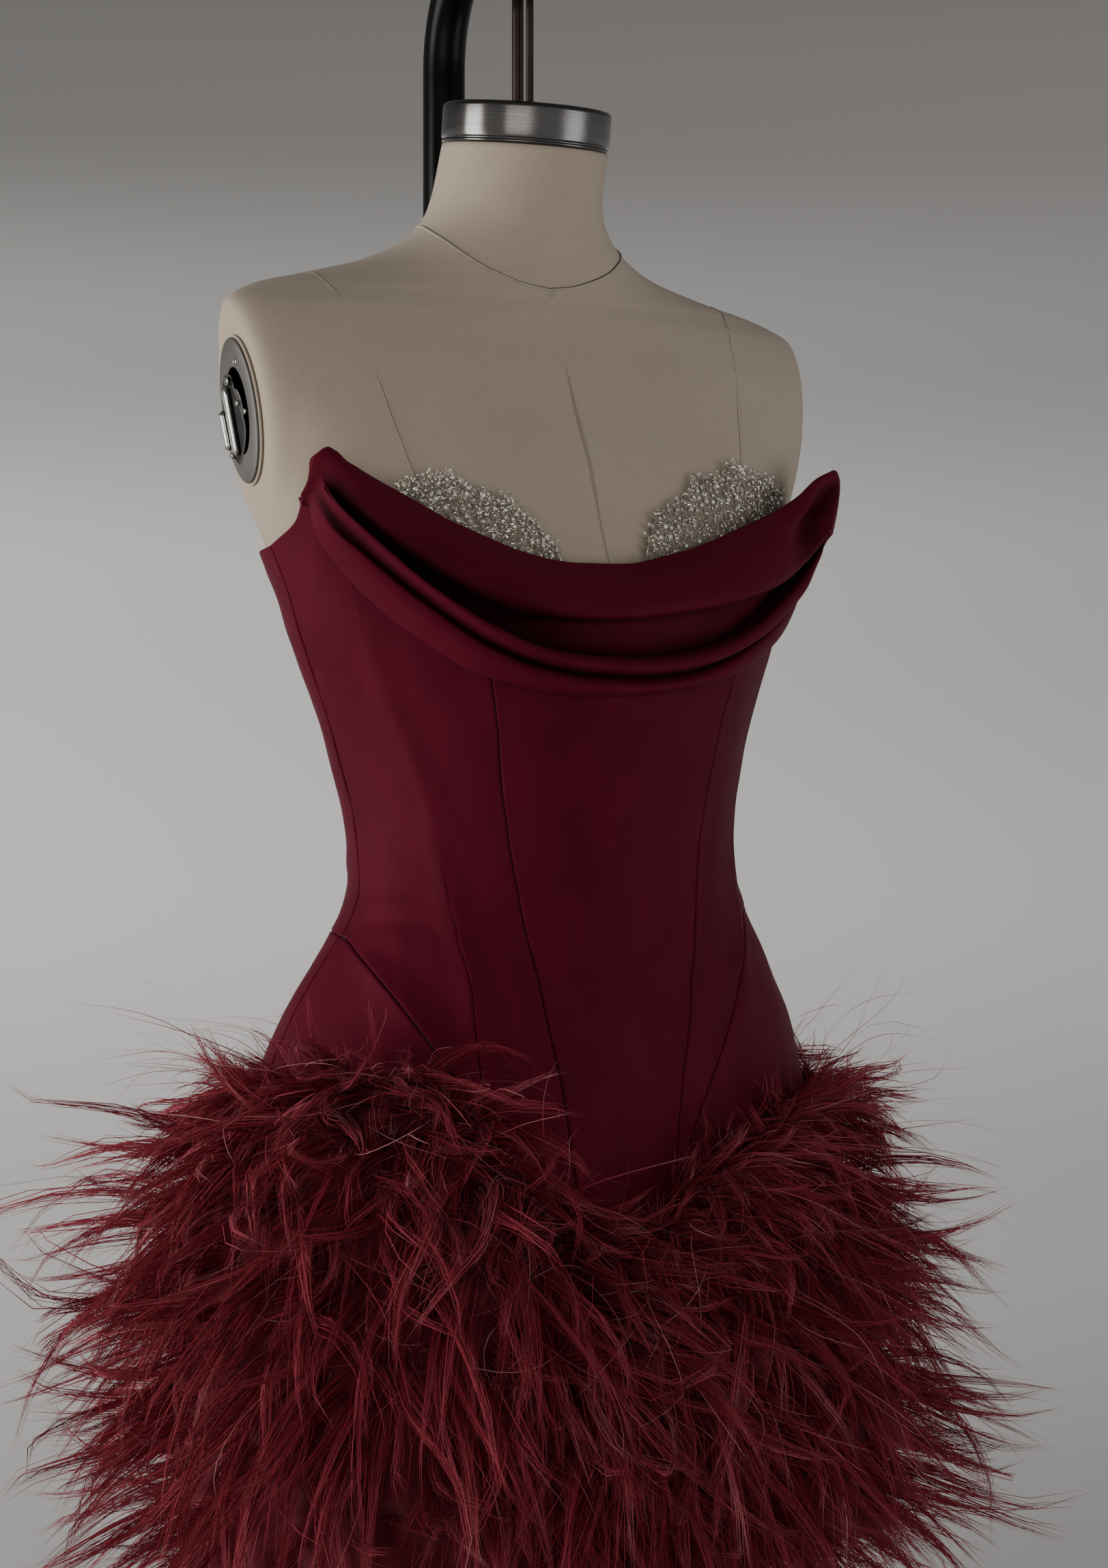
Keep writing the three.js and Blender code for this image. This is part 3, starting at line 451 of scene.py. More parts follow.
def crepe(name, base, sheen, folds=False):
    m = Mat(name, Roughness=0.5, Sheen_Weight=sheen, Sheen_Roughness=0.4, Specular_IOR_Level=0.09)
    m.p.inputs["Sheen Tint"].default_value = (1.0, 0.14, 0.28, 1)
    m.p.inputs["Specular Tint"].default_value = (1.0, 0.16, 0.28, 1)
    uv = m.weave()
    # soft cloudiness of the dye, then the fine twisted grain of the crepe
    cloud = m.noise(m.scaled(uv, 0.022, 0.014), 1.0, 4.0)
    grain = m.noise(m.scaled(uv, 1.9, 1.1), 1.0, 2.0, 0.7)
    mixed = m.math("ADD", m.math("MULTIPLY", cloud, 0.72), m.math("MULTIPLY", grain, 0.28))
    dark, light = tuple(c * 0.84 for c in base), tuple(c * 1.17 for c in base)
    if folds:  # painted shade: the shade attribute darkens the colour, so deep folds look shadowed
        at = m.node("Attribute", attribute_name="shade").outputs["Fac"]
        deep = m.math("MULTIPLY", at, m.math("ADD", m.math("MULTIPLY", mixed, 0.62), 0.52), clamp=True)
        m.color(m.ramp(deep, [(0.0, tuple(c * 0.05 for c in base)), (1.0, tuple(c * 1.19 for c in base))]))
    else:
        m.color(m.ramp(mixed, [(0.32, dark), (0.68, light)]))
    m.rough(grain, 0.50, 0.64)
    warp = m.wave(m.scaled(uv, 1.0, 1.0, turn=0.7), 0.55, "X", 1.5)
    m.bump((cloud, 0.0006, 0.08), (grain, 0.00012, 0.3), (warp, 0.00006, 0.22))
    return m.m


CREPE = crepe("burgundy_crepe", (0.079, 0.0056, 0.0150), 0.05)
# the same crepe with painted shade in its folds, for the cowl
CREPE_SHADE_PAINT = crepe("burgundy_crepe_painted_shade", (0.079, 0.0056, 0.0150), 0.05, True)
CREPE_IN = crepe("burgundy_crepe_back", (0.070, 0.003, 0.008), 0.1)


def linen():
    m = Mat("linen", Roughness=0.88, Sheen_Weight=0.12, Sheen_Roughness=0.6, Specular_IOR_Level=0.22)
    uv = m.weave()
    warp = m.wave(m.scaled(uv, 1.0, 0.06), 0.62, "X", 0.9)
    weft = m.wave(m.scaled(uv, 0.06, 1.0), 0.62, "Y", 0.9)
    slub = m.noise(m.scaled(uv, 0.9, 0.07), 1.0, 4.0, 0.7)
    slub2 = m.noise(m.scaled(uv, 0.07, 0.9), 1.0, 4.0, 0.7)
    cloud = m.noise(m.scaled(uv, 0.016, 0.012), 1.0, 4.0, 0.6)
    threads = m.math("ADD", m.math("MULTIPLY", warp, 0.5), m.math("MULTIPLY", weft, 0.5))
    tone = m.math("ADD", m.math("MULTIPLY", m.math("ADD", slub, slub2), 0.34), m.math("MULTIPLY", cloud, 0.34))
    m.color(m.ramp(tone, [(0.30, (0.355, 0.286, 0.220)), (0.52, (0.412, 0.338, 0.264)), (0.72, (0.460, 0.382, 0.303))]))
    m.bump((cloud, 0.0005, 0.06), (slub, 0.0002, 0.22), (threads, 0.0001, 0.35))
    return m.m


LINEN = linen()


def plain(name, base, roughness, metallic=0.0, spread=0.12, scale=22.0, bump=0.05, spec=0.5, coat=0.0, stretch=(1, 1, 1)):
    m = Mat(name, Roughness=roughness, Metallic=metallic, Specular_IOR_Level=spec, Coat_Weight=coat)
    v = m.scaled(m.place(), *stretch)
    n = m.noise(v, scale, 5.0, 0.6)
    fine = m.noise(v, scale * 14, 3.0, 0.6)
    lo, hi = tuple(c * (1 - spread) for c in base), tuple(min(1.0, c * (1 + spread)) for c in base)
    m.color(m.ramp(n, [(0.3, lo), (0.7, hi)]))
    m.rough(n, roughness * 0.85, min(1.0, roughness * 1.2))
    m.bump((n, 0.0004, bump), (fine, 0.00008, bump * 1.6))
    return m.m


def brushed(name):
    m = Mat(name, Metallic=1.0, Roughness=0.3)
    uv = m.weave()
    lines = m.noise(m.scaled(uv, 0.012, 5.0), 1.0, 4.0, 0.75)
    broad = m.noise(m.scaled(uv, 0.05, 0.9), 1.0, 3.0, 0.6)
    m.color(m.ramp(lines, [(0.3, (0.085, 0.082, 0.080)), (0.7, (0.165, 0.160, 0.156))]))
    m.rough(lines, 0.12, 0.22)
    m.bump((lines, 0.00008, 0.4), (broad, 0.0002, 0.08))
    return m.m


STEEL = brushed("brushed_steel")
PIPING = plain("linen_piping", (0.40, 0.345, 0.285), 0.8, scale=60, bump=0.2)
# painted shadow: the dark colour for seam valleys, the groove beside the neck piping and the pin hole
SEAM_SHADOW_PAINT = plain("seam_shadow", (0.070, 0.052, 0.040), 0.95, scale=60, bump=0.1, spec=0.1)
PLATE = plain("grey_plate", (0.105, 0.098, 0.088), 0.42, 0.35, scale=18, bump=0.06)
CHROME = plain("chrome", (0.52, 0.51, 0.49), 0.13, 1.0, scale=30, bump=0.04)
SLOT_SHADE_PAINT = plain("slot_painted_shade", (0.010, 0.009, 0.008), 0.6, scale=40, spec=0.3)
TUBE_BLACK = plain("black_lacquer", (0.0028, 0.0027, 0.0024), 0.24, 0.0, scale=7, bump=0.03, spec=0.08)
BASE_BLACK = plain("black_powder_coat", (0.018, 0.018, 0.019), 0.45, 0.1, scale=40, bump=0.25)
BRONZE = plain("bronzed_rod", (0.040, 0.028, 0.023), 0.26, 0.85, scale=40, bump=0.06)
ZIP = plain("zip_tape", (0.060, 0.006, 0.011), 0.75, scale=120, bump=0.3, spec=0.25)
CAP = plain("cap_steel", (0.46, 0.46, 0.47), 0.34, 1.0, scale=40, bump=0.08)


def feather_material(name, dark, mid, light, pale):
    m = Mat(name, Roughness=0.5, Sheen_Weight=0.16, Sheen_Roughness=0.35, Specular_IOR_Level=0.16)
    m.p.inputs["Sheen Tint"].default_value = (1.0, 0.42, 0.55, 1)
    m.p.inputs["Specular Tint"].default_value = (1.0, 0.6, 0.66, 1)
    at = m.node("Attribute", attribute_name="shade").outputs["Fac"]
    grain = m.noise(m.place(), 900.0, 2.0)
    fac = m.math("ADD", at, m.math("MULTIPLY", m.math("SUBTRACT", grain, 0.5), 0.25), clamp=True)
    m.color(m.ramp(fac, [(0.0, dark), (0.4, mid), (0.74, light), (1.0, pale)], False))
    m.rough(grain, 0.42, 0.6)
    return m.m


FEATHER = feather_material("ostrich_feather", (0.080, 0.0048, 0.0102), (0.200, 0.0158, 0.0275), (0.345, 0.0550, 0.0750), (0.60, 0.295, 0.300))


def fluff_material():
    m = Mat("feather_down", Roughness=0.9, Sheen_Weight=0.3, Sheen_Roughness=0.5, Specular_IOR_Level=0.1)
    m.p.inputs["Sheen Tint"].default_value = (1.0, 0.4, 0.45, 1)
    uv = m.weave()
    streak = m.noise(m.scaled(uv, 0.75, 0.035), 1.0, 5.0, 0.7)
    lump = m.noise(m.scaled(uv, 0.05, 0.02), 1.0, 3.0, 0.6)
    mixed = m.math("ADD", m.math("MULTIPLY", streak, 0.6), m.math("MULTIPLY", lump, 0.4))
    m.color(m.ramp(mixed, [(0.34, (0.062, 0.0044, 0.0098)), (0.56, (0.108, 0.0086, 0.0175)), (0.74, (0.150, 0.0145, 0.0265))]))
    m.bump((streak, 0.002, 0.6))
    return m.m


FLUFF = fluff_material()


def bead_material(name, color, roughness, metallic):
    m = Mat(name, Roughness=roughness, Metallic=metallic, Specular_IOR_Level=0.8)
    n = m.noise(m.place(), 260.0, 2.0)
    m.color(m.ramp(n, [(0.35, tuple(c * 0.6 for c in color)), (0.65, color)]))
    return m.m


SILVER = bead_material("silver_beads", (0.98, 0.90, 0.78), 0.24, 0.85)
CRYSTAL = bead_material("crystal_beads", (1.0, 0.985, 0.95), 0.06, 0.25)
NET = plain("lace_net", (0.250, 0.208, 0.165), 0.6, 0.1, spread=0.45, scale=420, bump=0.6)


def add(ob, slot, *nodes):
    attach(ob, "root")
    if nodes:
        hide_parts(*nodes)
    return ob


# ------------------------------------------------------------ the dress form
def torso_point(z, psi, off=0.0):
    p = skin(z, psi, off)
    z = np.broadcast_to(z, p.shape[:-1])
    r = np.hypot((p[..., 1] - ARM_Y) / (ARM_W + 3), (z - ARM_Z) / (ARM_H + 3))
    w = (1 - smooth(1, 1.7, r)) * (np.abs(p[..., 0]) > 120)
    seat = ARM_X + ARM_LEAN * (z - ARM_Z)
    p[..., 0] = lerp(p[..., 0], np.sign(p[..., 0]) * seat, w)
    p[..., 2] = z + (p[..., 1] - F_MID(z)) * math.tan(rad(NECK_TILT)) * smooth(1432, NECK_TOP, z)
    return p


def form_normals(z, a):
    dz = torso_point(z + 1.2, a) - torso_point(z - 1.2, a)
    da = torso_point(z, a + 0.8) - torso_point(z, a - 0.8)
    nrm = unit(np.cross(da, dz))
    out = torso_point(z, a, 3.0) - torso_point(z, a, 0.0)
    return nrm * np.where((nrm * out).sum(-1, keepdims=True) < 0, -1, 1)


def on_form(path, off=0.0, n=160):
    """Points and outward normals along a line on the form, from (z, angle) stations."""
    path = np.asarray(path, float)
    s = np.concatenate([[0], np.cumsum(np.hypot(np.diff(path[:, 0]), np.diff(path[:, 1]) * 2.2))])
    t = np.linspace(0, s[-1], n)
    cz, ca = Curve(s, path[:, 0]), Curve(s, path[:, 1])
    z, a = cz(t), ca(t)
    p = torso_point(z, a, off)
    nrm = form_normals(z, a)
    return p, nrm


def sewn_seam(name, p, nrm, mats, half=1.15, high=0.34, closed=False, floor=0.03):
    """A sewn seam on a surface: two soft lips with a line of painted shadow between them, as one closed strip."""
    t = unit(np.roll(p, -1, 0) - np.roll(p, 1, 0)) if closed else unit(np.gradient(p, axis=0))
    b = unit(np.cross(t, nrm))
    prof = [(-1, -0.10), (-0.62, 0.55), (-0.30, 1.0), (-0.14, 0.55), (0, 0.02), (0.14, 0.55), (0.30, 1.0), (0.62, 0.55), (1, -0.10), (0.5, -1.6), (-0.5, -1.6)]
    k, m = len(p), len(prof)
    co = np.stack([p + b * (x * half) + nrm * (floor + y * high) for x, y in prof], 1).reshape(-1, 3)
    i, j = np.meshgrid(np.arange(k if closed else k - 1), np.arange(m), indexing="ij")
    i, j = i.ravel(), j.ravel()
    i2, j2 = (i + 1) % k, (j + 1) % m
    f = np.stack([i * m + j, i * m + j2, i2 * m + j2, i2 * m + j], 1)
    # the valley between the lips takes the second material, a line of painted shadow
    which = np.isin(j, (3, 4)).astype(int)
    uv = np.stack([np.repeat(np.arange(k), m) * 1.2, np.tile(np.arange(m), k) * 0.4], 1)
    f = tris_of(f)
    which = np.concatenate([which, which])
    if not closed:
        fan = np.arange(1, m - 1)
        f = np.concatenate([f, np.stack([np.zeros(m - 2, int), fan + 1, fan], 1), (k - 1) * m + np.stack([np.zeros(m - 2, int), fan, fan + 1], 1)])
        which = np.concatenate([which, np.zeros(2 * (m - 2), int)])
    vol = (co[f[:, 0]] * np.cross(co[f[:, 1]], co[f[:, 2]])).sum()
    return mesh_object(name, co, f if vol > 0 else f[:, ::-1], mats, uv=uv, which=which)


def joined(name, obs):
    bpy.ops.object.select_all(action="DESELECT")
    for o in obs:
        o.select_set(True)
    bpy.context.view_layer.objects.active = obs[0]
    bpy.ops.object.join()
    obs[0].name = name
    obs[0].data.name = name
    return obs[0]


zs = np.concatenate([np.linspace(TORSO_BOTTOM, 1215, 16)[:-1], np.linspace(1215, 1376, 38)[:-1],
                     np.linspace(1376, 1430, 44)[:-1], np.linspace(1430, NECK_TOP, 18)])
cols = 144
ang = -180 + (np.arange(cols) + 0.5) * 360 / cols
body = torso_point(zs[None, :], ang[:, None])
dent = 0.35 * wander(body, 11, 70.0)
body = torso_point(zs[None, :], ang[:, None], dent * smooth(1225, 1260, zs)[None, :])
# lower edge turned under, and both ends closed
foot = [torso_point(np.full(cols, z), ang, o) for z, o in ((TORSO_BOTTOM, -9.0), (TORSO_BOTTOM, -5.0), (TORSO_BOTTOM + 0.8, -2.0))]
foot = np.stack([f_ for f_ in foot], 1)
foot[:, 0, 2] = TORSO_BOTTOM
g = np.concatenate([foot, body[:, 1:]], 1)
ni, nj = g.shape[:2]
co = g.reshape(-1, 3)
f = grid_faces(ni, nj, wrap=True)
lo_c, hi_c = g[:, 0].mean(0), g[:, -1].mean(0)
co = np.concatenate([co, [lo_c, hi_c]])
k, k2 = np.arange(ni), (np.arange(ni) + 1) % ni
f = np.concatenate([tris_of(f), np.stack([k2 * nj, k * nj, np.full(ni, ni * nj)], 1), np.stack([k * nj + nj - 1, k2 * nj + nj - 1, np.full(ni, ni * nj + 1)], 1)])
arc = np.concatenate([np.zeros((1, nj)), np.cumsum(np.linalg.norm(np.diff(g, axis=0), axis=2), 0)])
rise = np.concatenate([np.zeros((ni, 1)), np.cumsum(np.linalg.norm(np.diff(g, axis=1), axis=2), 1)], 1)
uv = np.concatenate([np.stack([arc, rise], -1).reshape(-1, 2), [[0, 0], [0, 0]]])
torso = add(mesh_object("form_cover", co, facing_out(co, f), LINEN, uv=uv), "linen", "form_torso")

# sewn seams of the linen cover: centre lines, princess seams over the shoulders, sides
FORM_SEAMS = {
    "front": [(1394, 0), (1340, 0), (1290, 0), (1238, -0.6), (1180, 0), (1120, 0)],
    "back": [(1432, 180), (1380, 180), (1300, 180), (1180, 180), (1040, 180), (900, 180), (764, 180)],
    "princess_right": [(1200, -35), (1279, -35.2), (1319, -34.6), (1356, -37.5), (1376, -42), (1388, -49), (1397, -60), (1402, -74), (1403, -90),
                       (1401, -108), (1396, -122), (1386, -133), (1366, -140), (1320, -144.5), (1240, -146), (1120, -147), (960, -146), (764, -146)],
}
FORM_SEAMS["princess_left"] = [(z, -a) for z, a in FORM_SEAMS["princess_right"][3:]]
FORM_SEAMS["princess_left_front"] = [(z, -a) for z, a in FORM_SEAMS["princess_right"][:4]]
FORM_SEAMS["side_right"] = [(1234, -90), (1228, -90), (1200, -90), (1100, -90), (960, -90), (764, -90)]
FORM_SEAMS["side_left"] = [(z, -a) for z, a in FORM_SEAMS["side_right"]]
parts = []
for key, line in FORM_SEAMS.items():
    p, nrm = on_form(line, n=96)
    # the seam above the wearer's left cup is pressed so flat that it hardly shows
    flat_ = key == "princess_left_front"
    parts.append(sewn_seam("s_" + key, p, nrm, [LINEN, LINEN if flat_ else SEAM_SHADOW_PAINT], half=1.15, high=0.12 if flat_ else 0.26))
add(joined("form_seams", parts), "linen")

# piped seam round the neck root, and the pin hole in front
NECK_LINE = np.array([[0, 1397.3], [8.5, 1399.3], [17, 1404], [28, 1411], [40, 1418.5], [60, 1428], [90, 1437], [120, 1440], [150, 1439], [180, 1438]])
nl = Curve(NECK_LINE[:, 0], NECK_LINE[:, 1])
a = np.linspace(-180, 180, 160, endpoint=False)
z = nl(np.abs(a))
p = torso_point(z, a)
nrm = form_normals(z, a)
piping = tube("neck_piping", p + nrm * 0.35, 0.72, PIPING, n=8, closed=True)
side = unit(np.cross(unit(np.roll(p, -1, 0) - np.roll(p, 1, 0)), nrm))
# a thin dark tube along the piping: painted shadow
groove = tube("neck_groove", p - side * 0.95 + nrm * 0.02, 0.30, SEAM_SHADOW_PAINT, n=6, closed=True)
p0, n0 = on_form([(1396.6, 0.4), (1394.6, 0.4)], n=3)
pin_at, pin_n = p0[1] + np.array([2.0, 0, -1.2]), n0[1]
u1 = unit(np.cross(pin_n, [0, 0, 1.0])); u2 = np.cross(pin_n, u1)
c = np.linspace(0, 2 * np.pi, 20, endpoint=False)
eyelet = tube("pin_eyelet", pin_at + pin_n * 0.25 + 1.5 * (np.cos(c)[:, None] * u1 + np.sin(c)[:, None] * u2), 0.42, PIPING, n=8, closed=True)
# the pin hole is lined with painted shade
hole = tube("pin_hole", np.array([pin_at - pin_n * 1.0, pin_at + pin_n * 0.12]), 1.25, SEAM_SHADOW_PAINT, n=16)
add(joined("neck_seam", [piping, groove, eyelet, hole]), "linen")

# neck block: brushed band with a rolled lip at each edge, and a plain cap
tilt = Matrix.Rotation(rad(NECK_TILT), 4, "X")
tilt.translation = Vector((0, RING_Y, NECK_TOP + 0.45))
R, H = RING_R, RING_H
band = [(0, 0), (R - 3, 0), (R - 1.4, 0.15), (R - 0.5, 0.7), (R - 0.35, 1.5), (R - 0.9, 2.3), (R - 1.0, 2.9), (R - 0.25, 3.4), (R, 4.2),
        (R, H * 0.35), (R, H * 0.6), (R, H - 3.2), (R - 0.15, H - 2.2), (R - 0.6, H - 1.3), (R - 1.4, H - 0.45), (R - 2.6, H - 0.05),
        (R - 4.0, H - 0.3), (R - 4.6, H - 1.0), (R - 5.4, H - 1.3), (R - 12, H - 1.3), (R - 30, H - 1.25), (9, H - 1.25), (8.4, H - 0.2), (7.6, H), (0, H)]
ring = add(turned("neck_ring", band, STEEL, tilt, 96), "brushed_steel", "form_neck_ring")

# arm plates: a dark plate let into the stump inside a piped edge, with a bar clamp in a slot
def disc(ry, rz, t, n=64, edge=0.8):
    """An oval plate lying in y and z, its thickness along x from 0 to t."""
    a = np.linspace(0, 2 * np.pi, n, endpoint=False)
    rings = [(0.0, 0.0), (0.5, 0.0), (1.0, 0.0), (1.0, t - edge), (1.0, t - edge * 0.4), (0.99, t), (0.6, t), (0.0, t)]
    co, k = [], []
    for i, (s, x) in enumerate(rings):
        sy, sz = (ry * s, rz * s)
        if i == 4:
            sy, sz = ry - edge * 0.25, rz - edge * 0.25
        if i == 5:
            sy, sz = ry - edge, rz - edge
        co.append(np.stack([np.full(n, x), sy * np.cos(a), sz * np.sin(a)], 1))
    body = np.stack(co[1:-1], 1)
    m = body.shape[1]
    f = tris_of(grid_faces(n, m, wrap=True))
    pts = np.concatenate([body.reshape(-1, 3), [[0, 0, 0], [t, 0, 0]]])
    j, j2 = np.arange(n), (np.arange(n) + 1) % n
    f = np.concatenate([f, np.stack([j * m, j2 * m, np.full(n, n * m)], 1), np.stack([j2 * m + m - 1, j * m + m - 1, np.full(n, n * m + 1)], 1)])
    return pts, facing_out(pts, f)


for side, sx in (("right", -1), ("left", 1)):
    lean = math.atan(ARM_LEAN)

    def out_of(p, sx=sx, lean=lean):
        """From the plate's own frame (x out, y back, z up) to the form's."""
        p = np.asarray(p, float)
        x = p[..., 0] * math.cos(lean) + p[..., 2] * math.sin(lean)
        z = -p[..., 0] * math.sin(lean) + p[..., 2] * math.cos(lean)
        return np.stack([sx * (ARM_X + 0.4 + x), ARM_Y + p[..., 1], ARM_Z + z], -1)

    pts, f = disc(ARM_W, ARM_H, ARM_T)
    w = out_of(pts)
    plate = mesh_object("arm_plate_body_" + side, w, facing_out(w, f), PLATE, uv=pts[:, 1:])
    c = np.linspace(0, 2 * np.pi, 90, endpoint=False)
    rim = out_of(np.stack([np.full(90, 0.9), (ARM_W + 0.75) * np.cos(c), (ARM_H + 0.75) * np.sin(c)], 1))
    bead = tube("arm_edge_" + side, rim, 0.9, LINEN, n=8, closed=True)
    # slot: a sunk field painted near black as the shade inside the slot, with a low lip
    slot = np.array([[3.5, 21], [11, 22], [19, 10], [20.5, -4], [17, -20], [8, -31], [2.5, -27], [-5.5, -16], [-7, -9], [-3, 4], [1.5, 14]])
    cs = np.concatenate([slot, slot[:1]])
    s_ = np.arange(len(cs))
    tt = np.linspace(0, len(cs) - 1, 56, endpoint=False)
    sy, sz = Curve(s_, cs[:, 0])(tt), Curve(s_, cs[:, 1])(tt)
    loop = np.stack([np.full(56, ARM_T + 0.05), sy, sz], 1)
    lip = tube("slot_lip_" + side, out_of(loop), 0.55, PLATE, n=6, closed=True)
    mid = loop.mean(0)
    field = np.concatenate([loop, [mid], loop - [0.8, 0, 0], [mid - [0.8, 0, 0]]])
    k, k2 = np.arange(56), (np.arange(56) + 1) % 56
    f = np.concatenate([np.stack([k, k2, np.full(56, 56)], 1), np.stack([57 + k2, 57 + k, np.full(56, 113)], 1),
                        np.stack([k2, k, 57 + k], 1), np.stack([k2, 57 + k, 57 + k2], 1)])
    fw = out_of(field + [0.08, 0, 0])
    dark = mesh_object("slot_field_" + side, fw, facing_out(fw, f), SLOT_SHADE_PAINT, uv=field[:, 1:], flat=True)
    add(joined("arm_plate_set_" + side, [plate, bead, lip, dark]), "grey_metal", "arm_plate_" + side)

    def bar(name, a, b, w, h, sections=14):
        """A rounded flat bar from a to b (y, z) standing off the plate."""
        a, b = np.array(a, float), np.array(b, float)
        d = (b - a) / np.linalg.norm(b - a)
        q = np.array([-d[1], d[0]])
        n = 16
        ca = np.linspace(0, 2 * np.pi, n, endpoint=False)
        sec_w = np.sign(np.cos(ca)) * np.abs(np.cos(ca)) ** 0.6
        sec_h = np.sign(np.sin(ca)) * np.abs(np.sin(ca)) ** 0.6
        rows = []
        for t in np.linspace(0, 1, sections):
            e = min(t, 1 - t) * np.linalg.norm(b - a)
            k = math.sqrt(max(0.0, 1 - (1 - min(1.0, e / (w / 2))) ** 2)) * 0.999 + 0.001
            cpt = a + (b - a) * t
            rows.append(np.stack([ARM_T + 0.5 + h / 2 + sec_h * h / 2 * k, cpt[0] + q[0] * sec_w * w / 2 * k, cpt[1] + q[1] * sec_w * w / 2 * k], 1))
        g = np.stack(rows, 1)
        pts = out_of(g.reshape(-1, 3))
        f = tris_of(grid_faces(n, sections, wrap=True))
        pts = np.concatenate([pts, out_of(np.array([g[:, 0].mean(0), g[:, -1].mean(0)]))])
        j, j2 = np.arange(n), (np.arange(n) + 1) % n
        f = np.concatenate([f, np.stack([j2 * sections, j * sections, np.full(n, n * sections)], 1),
                            np.stack([j * sections + sections - 1, j2 * sections + sections - 1, np.full(n, n * sections + 1)], 1)])
        return mesh_object(name, pts, facing_out(pts, f), CHROME, uv=np.zeros((len(pts), 2)))

    def bolt(name, y, z, r=2.0, h=1.6):
        pts, f = disc(r, r, h, 18, 0.5)
        w = out_of(pts + [ARM_T + 0.1, y, z])
        return mesh_object(name, w, facing_out(w, f), CHROME, uv=pts[:, 1:])

    lever = [bar("lever_bar_" + side, (5.6, -27), (10.2, 16.5), 5.6, 3.4), bolt("lever_pin_" + side, 5.0, 18.2, 2.6, 3.2),
             bolt("bolt_a_" + side, -2.2, 4.3, 1.9, 1.9), bolt("bolt_b_" + side, -11.4, -1.3, 1.9, 1.9)]
    hole_c = np.linspace(0, 2 * np.pi, 18, endpoint=False)
    lever.append(tube("hole_ring_" + side, out_of(np.stack([np.full(18, ARM_T + 0.1), -4.6 + 1.7 * np.cos(hole_c), 28.4 + 1.7 * np.sin(hole_c)], 1)), 0.45, CHROME, n=6, closed=True))
    add(joined("arm_lever_set_" + side, lever), "chrome", "arm_lever_" + side)
    add(joined("arm_latch_set_" + side, [bar("latch_bar_" + side, (13.0, -22.5), (16.2, 2.0), 4.6, 4.6), bolt("latch_pin_" + side, 11.8, -25.4, 1.8, 3.0)]),
        "chrome", "arm_latch_" + side)

# ------------------------------------------------------------------- the stand
arc_a = np.linspace(0, math.pi / 2, 22)
route = np.concatenate([
    np.stack([np.zeros(3), np.full(3, POLE_Y), [14.4, 700.0, POLE_TOP - 4]], 1),
    np.stack([np.zeros(22), POLE_Y - POLE_BEND * (1 - np.cos(arc_a)), POLE_TOP + POLE_BEND * np.sin(arc_a)], 1),
    [[0, POLE_Y - POLE_BEND - POLE_REACH * 0.5, POLE_TOP + POLE_BEND], [0, POLE_Y - POLE_BEND - POLE_REACH + 2.5, POLE_TOP + POLE_BEND],
     [0, POLE_Y - POLE_BEND - POLE_REACH + 0.8, POLE_TOP + POLE_BEND], [0, POLE_Y - POLE_BEND - POLE_REACH, POLE_TOP + POLE_BEND]]])
radii = np.full(len(route), POLE_R)
radii[-3:] = POLE_R, POLE_R - 0.8, POLE_R - 2.5
add(tube("gooseneck", route, radii, TUBE_BLACK, n=40), "black_tube", "stand_gooseneck")
lift = Matrix.Translation(Vector((0, POLE_Y, 14.4)))
ring_profile = np.array([(13.9, 0.0), (33.0, 0.0), (34.0, 1.0), (34.0, 5.6), (32.8, 7.0), (26.0, 9.6), (22.6, 12.0), (19.8, 18.0), (19.0, 26.0),
                         (19.0, 44.0), (18.2, 45.6), (16.4, 46.0), (13.9, 46.0)])
n = 64
a = np.linspace(0, 2 * np.pi, n, endpoint=False)
co = np.stack([np.outer(np.cos(a), ring_profile[:, 0]), np.outer(np.sin(a), ring_profile[:, 0]), np.broadcast_to(ring_profile[:, 1], (n, len(ring_profile)))], -1)
m_ = len(ring_profile)
i, j = np.meshgrid(np.arange(n), np.arange(m_), indexing="ij")
i, j = i.ravel(), j.ravel()
f = np.stack([i * m_ + j, ((i + 1) % n) * m_ + j, ((i + 1) % n) * m_ + (j + 1) % m_, i * m_ + (j + 1) % m_], 1)
co = co.reshape(-1, 3) + np.array([0, POLE_Y, 14.4])
collar = mesh_object("collar_body", co, facing_out(co, f), BASE_BLACK, uv=co[:, :2])
key = []
for t in (0.4, 2.5, 4.6):  # three set screws
    d = np.array([math.cos(t), math.sin(t), 0])
    q = np.array([0, POLE_Y, 14.4 + 34.0]) + d * 18.8
    key.append(tube("screw", np.array([q, q + d * 1.6, q + d * 2.4]), [2.6, 2.6, 1.9], CHROME, n=12))
add(joined("stand_collar_set", [collar] + key), "black_tube", "stand_collar")
base_profile = [(0, 0), (236, 0), (239, 0.8), (240, 3), (240, 9.6), (239.0, 12.0), (236.4, 13.5), (232, 14), (150, 14), (80, 14), (0, 14)]
add(turned("stand_foot", base_profile, BASE_BLACK, None, 128), "base_iron", "stand_base")

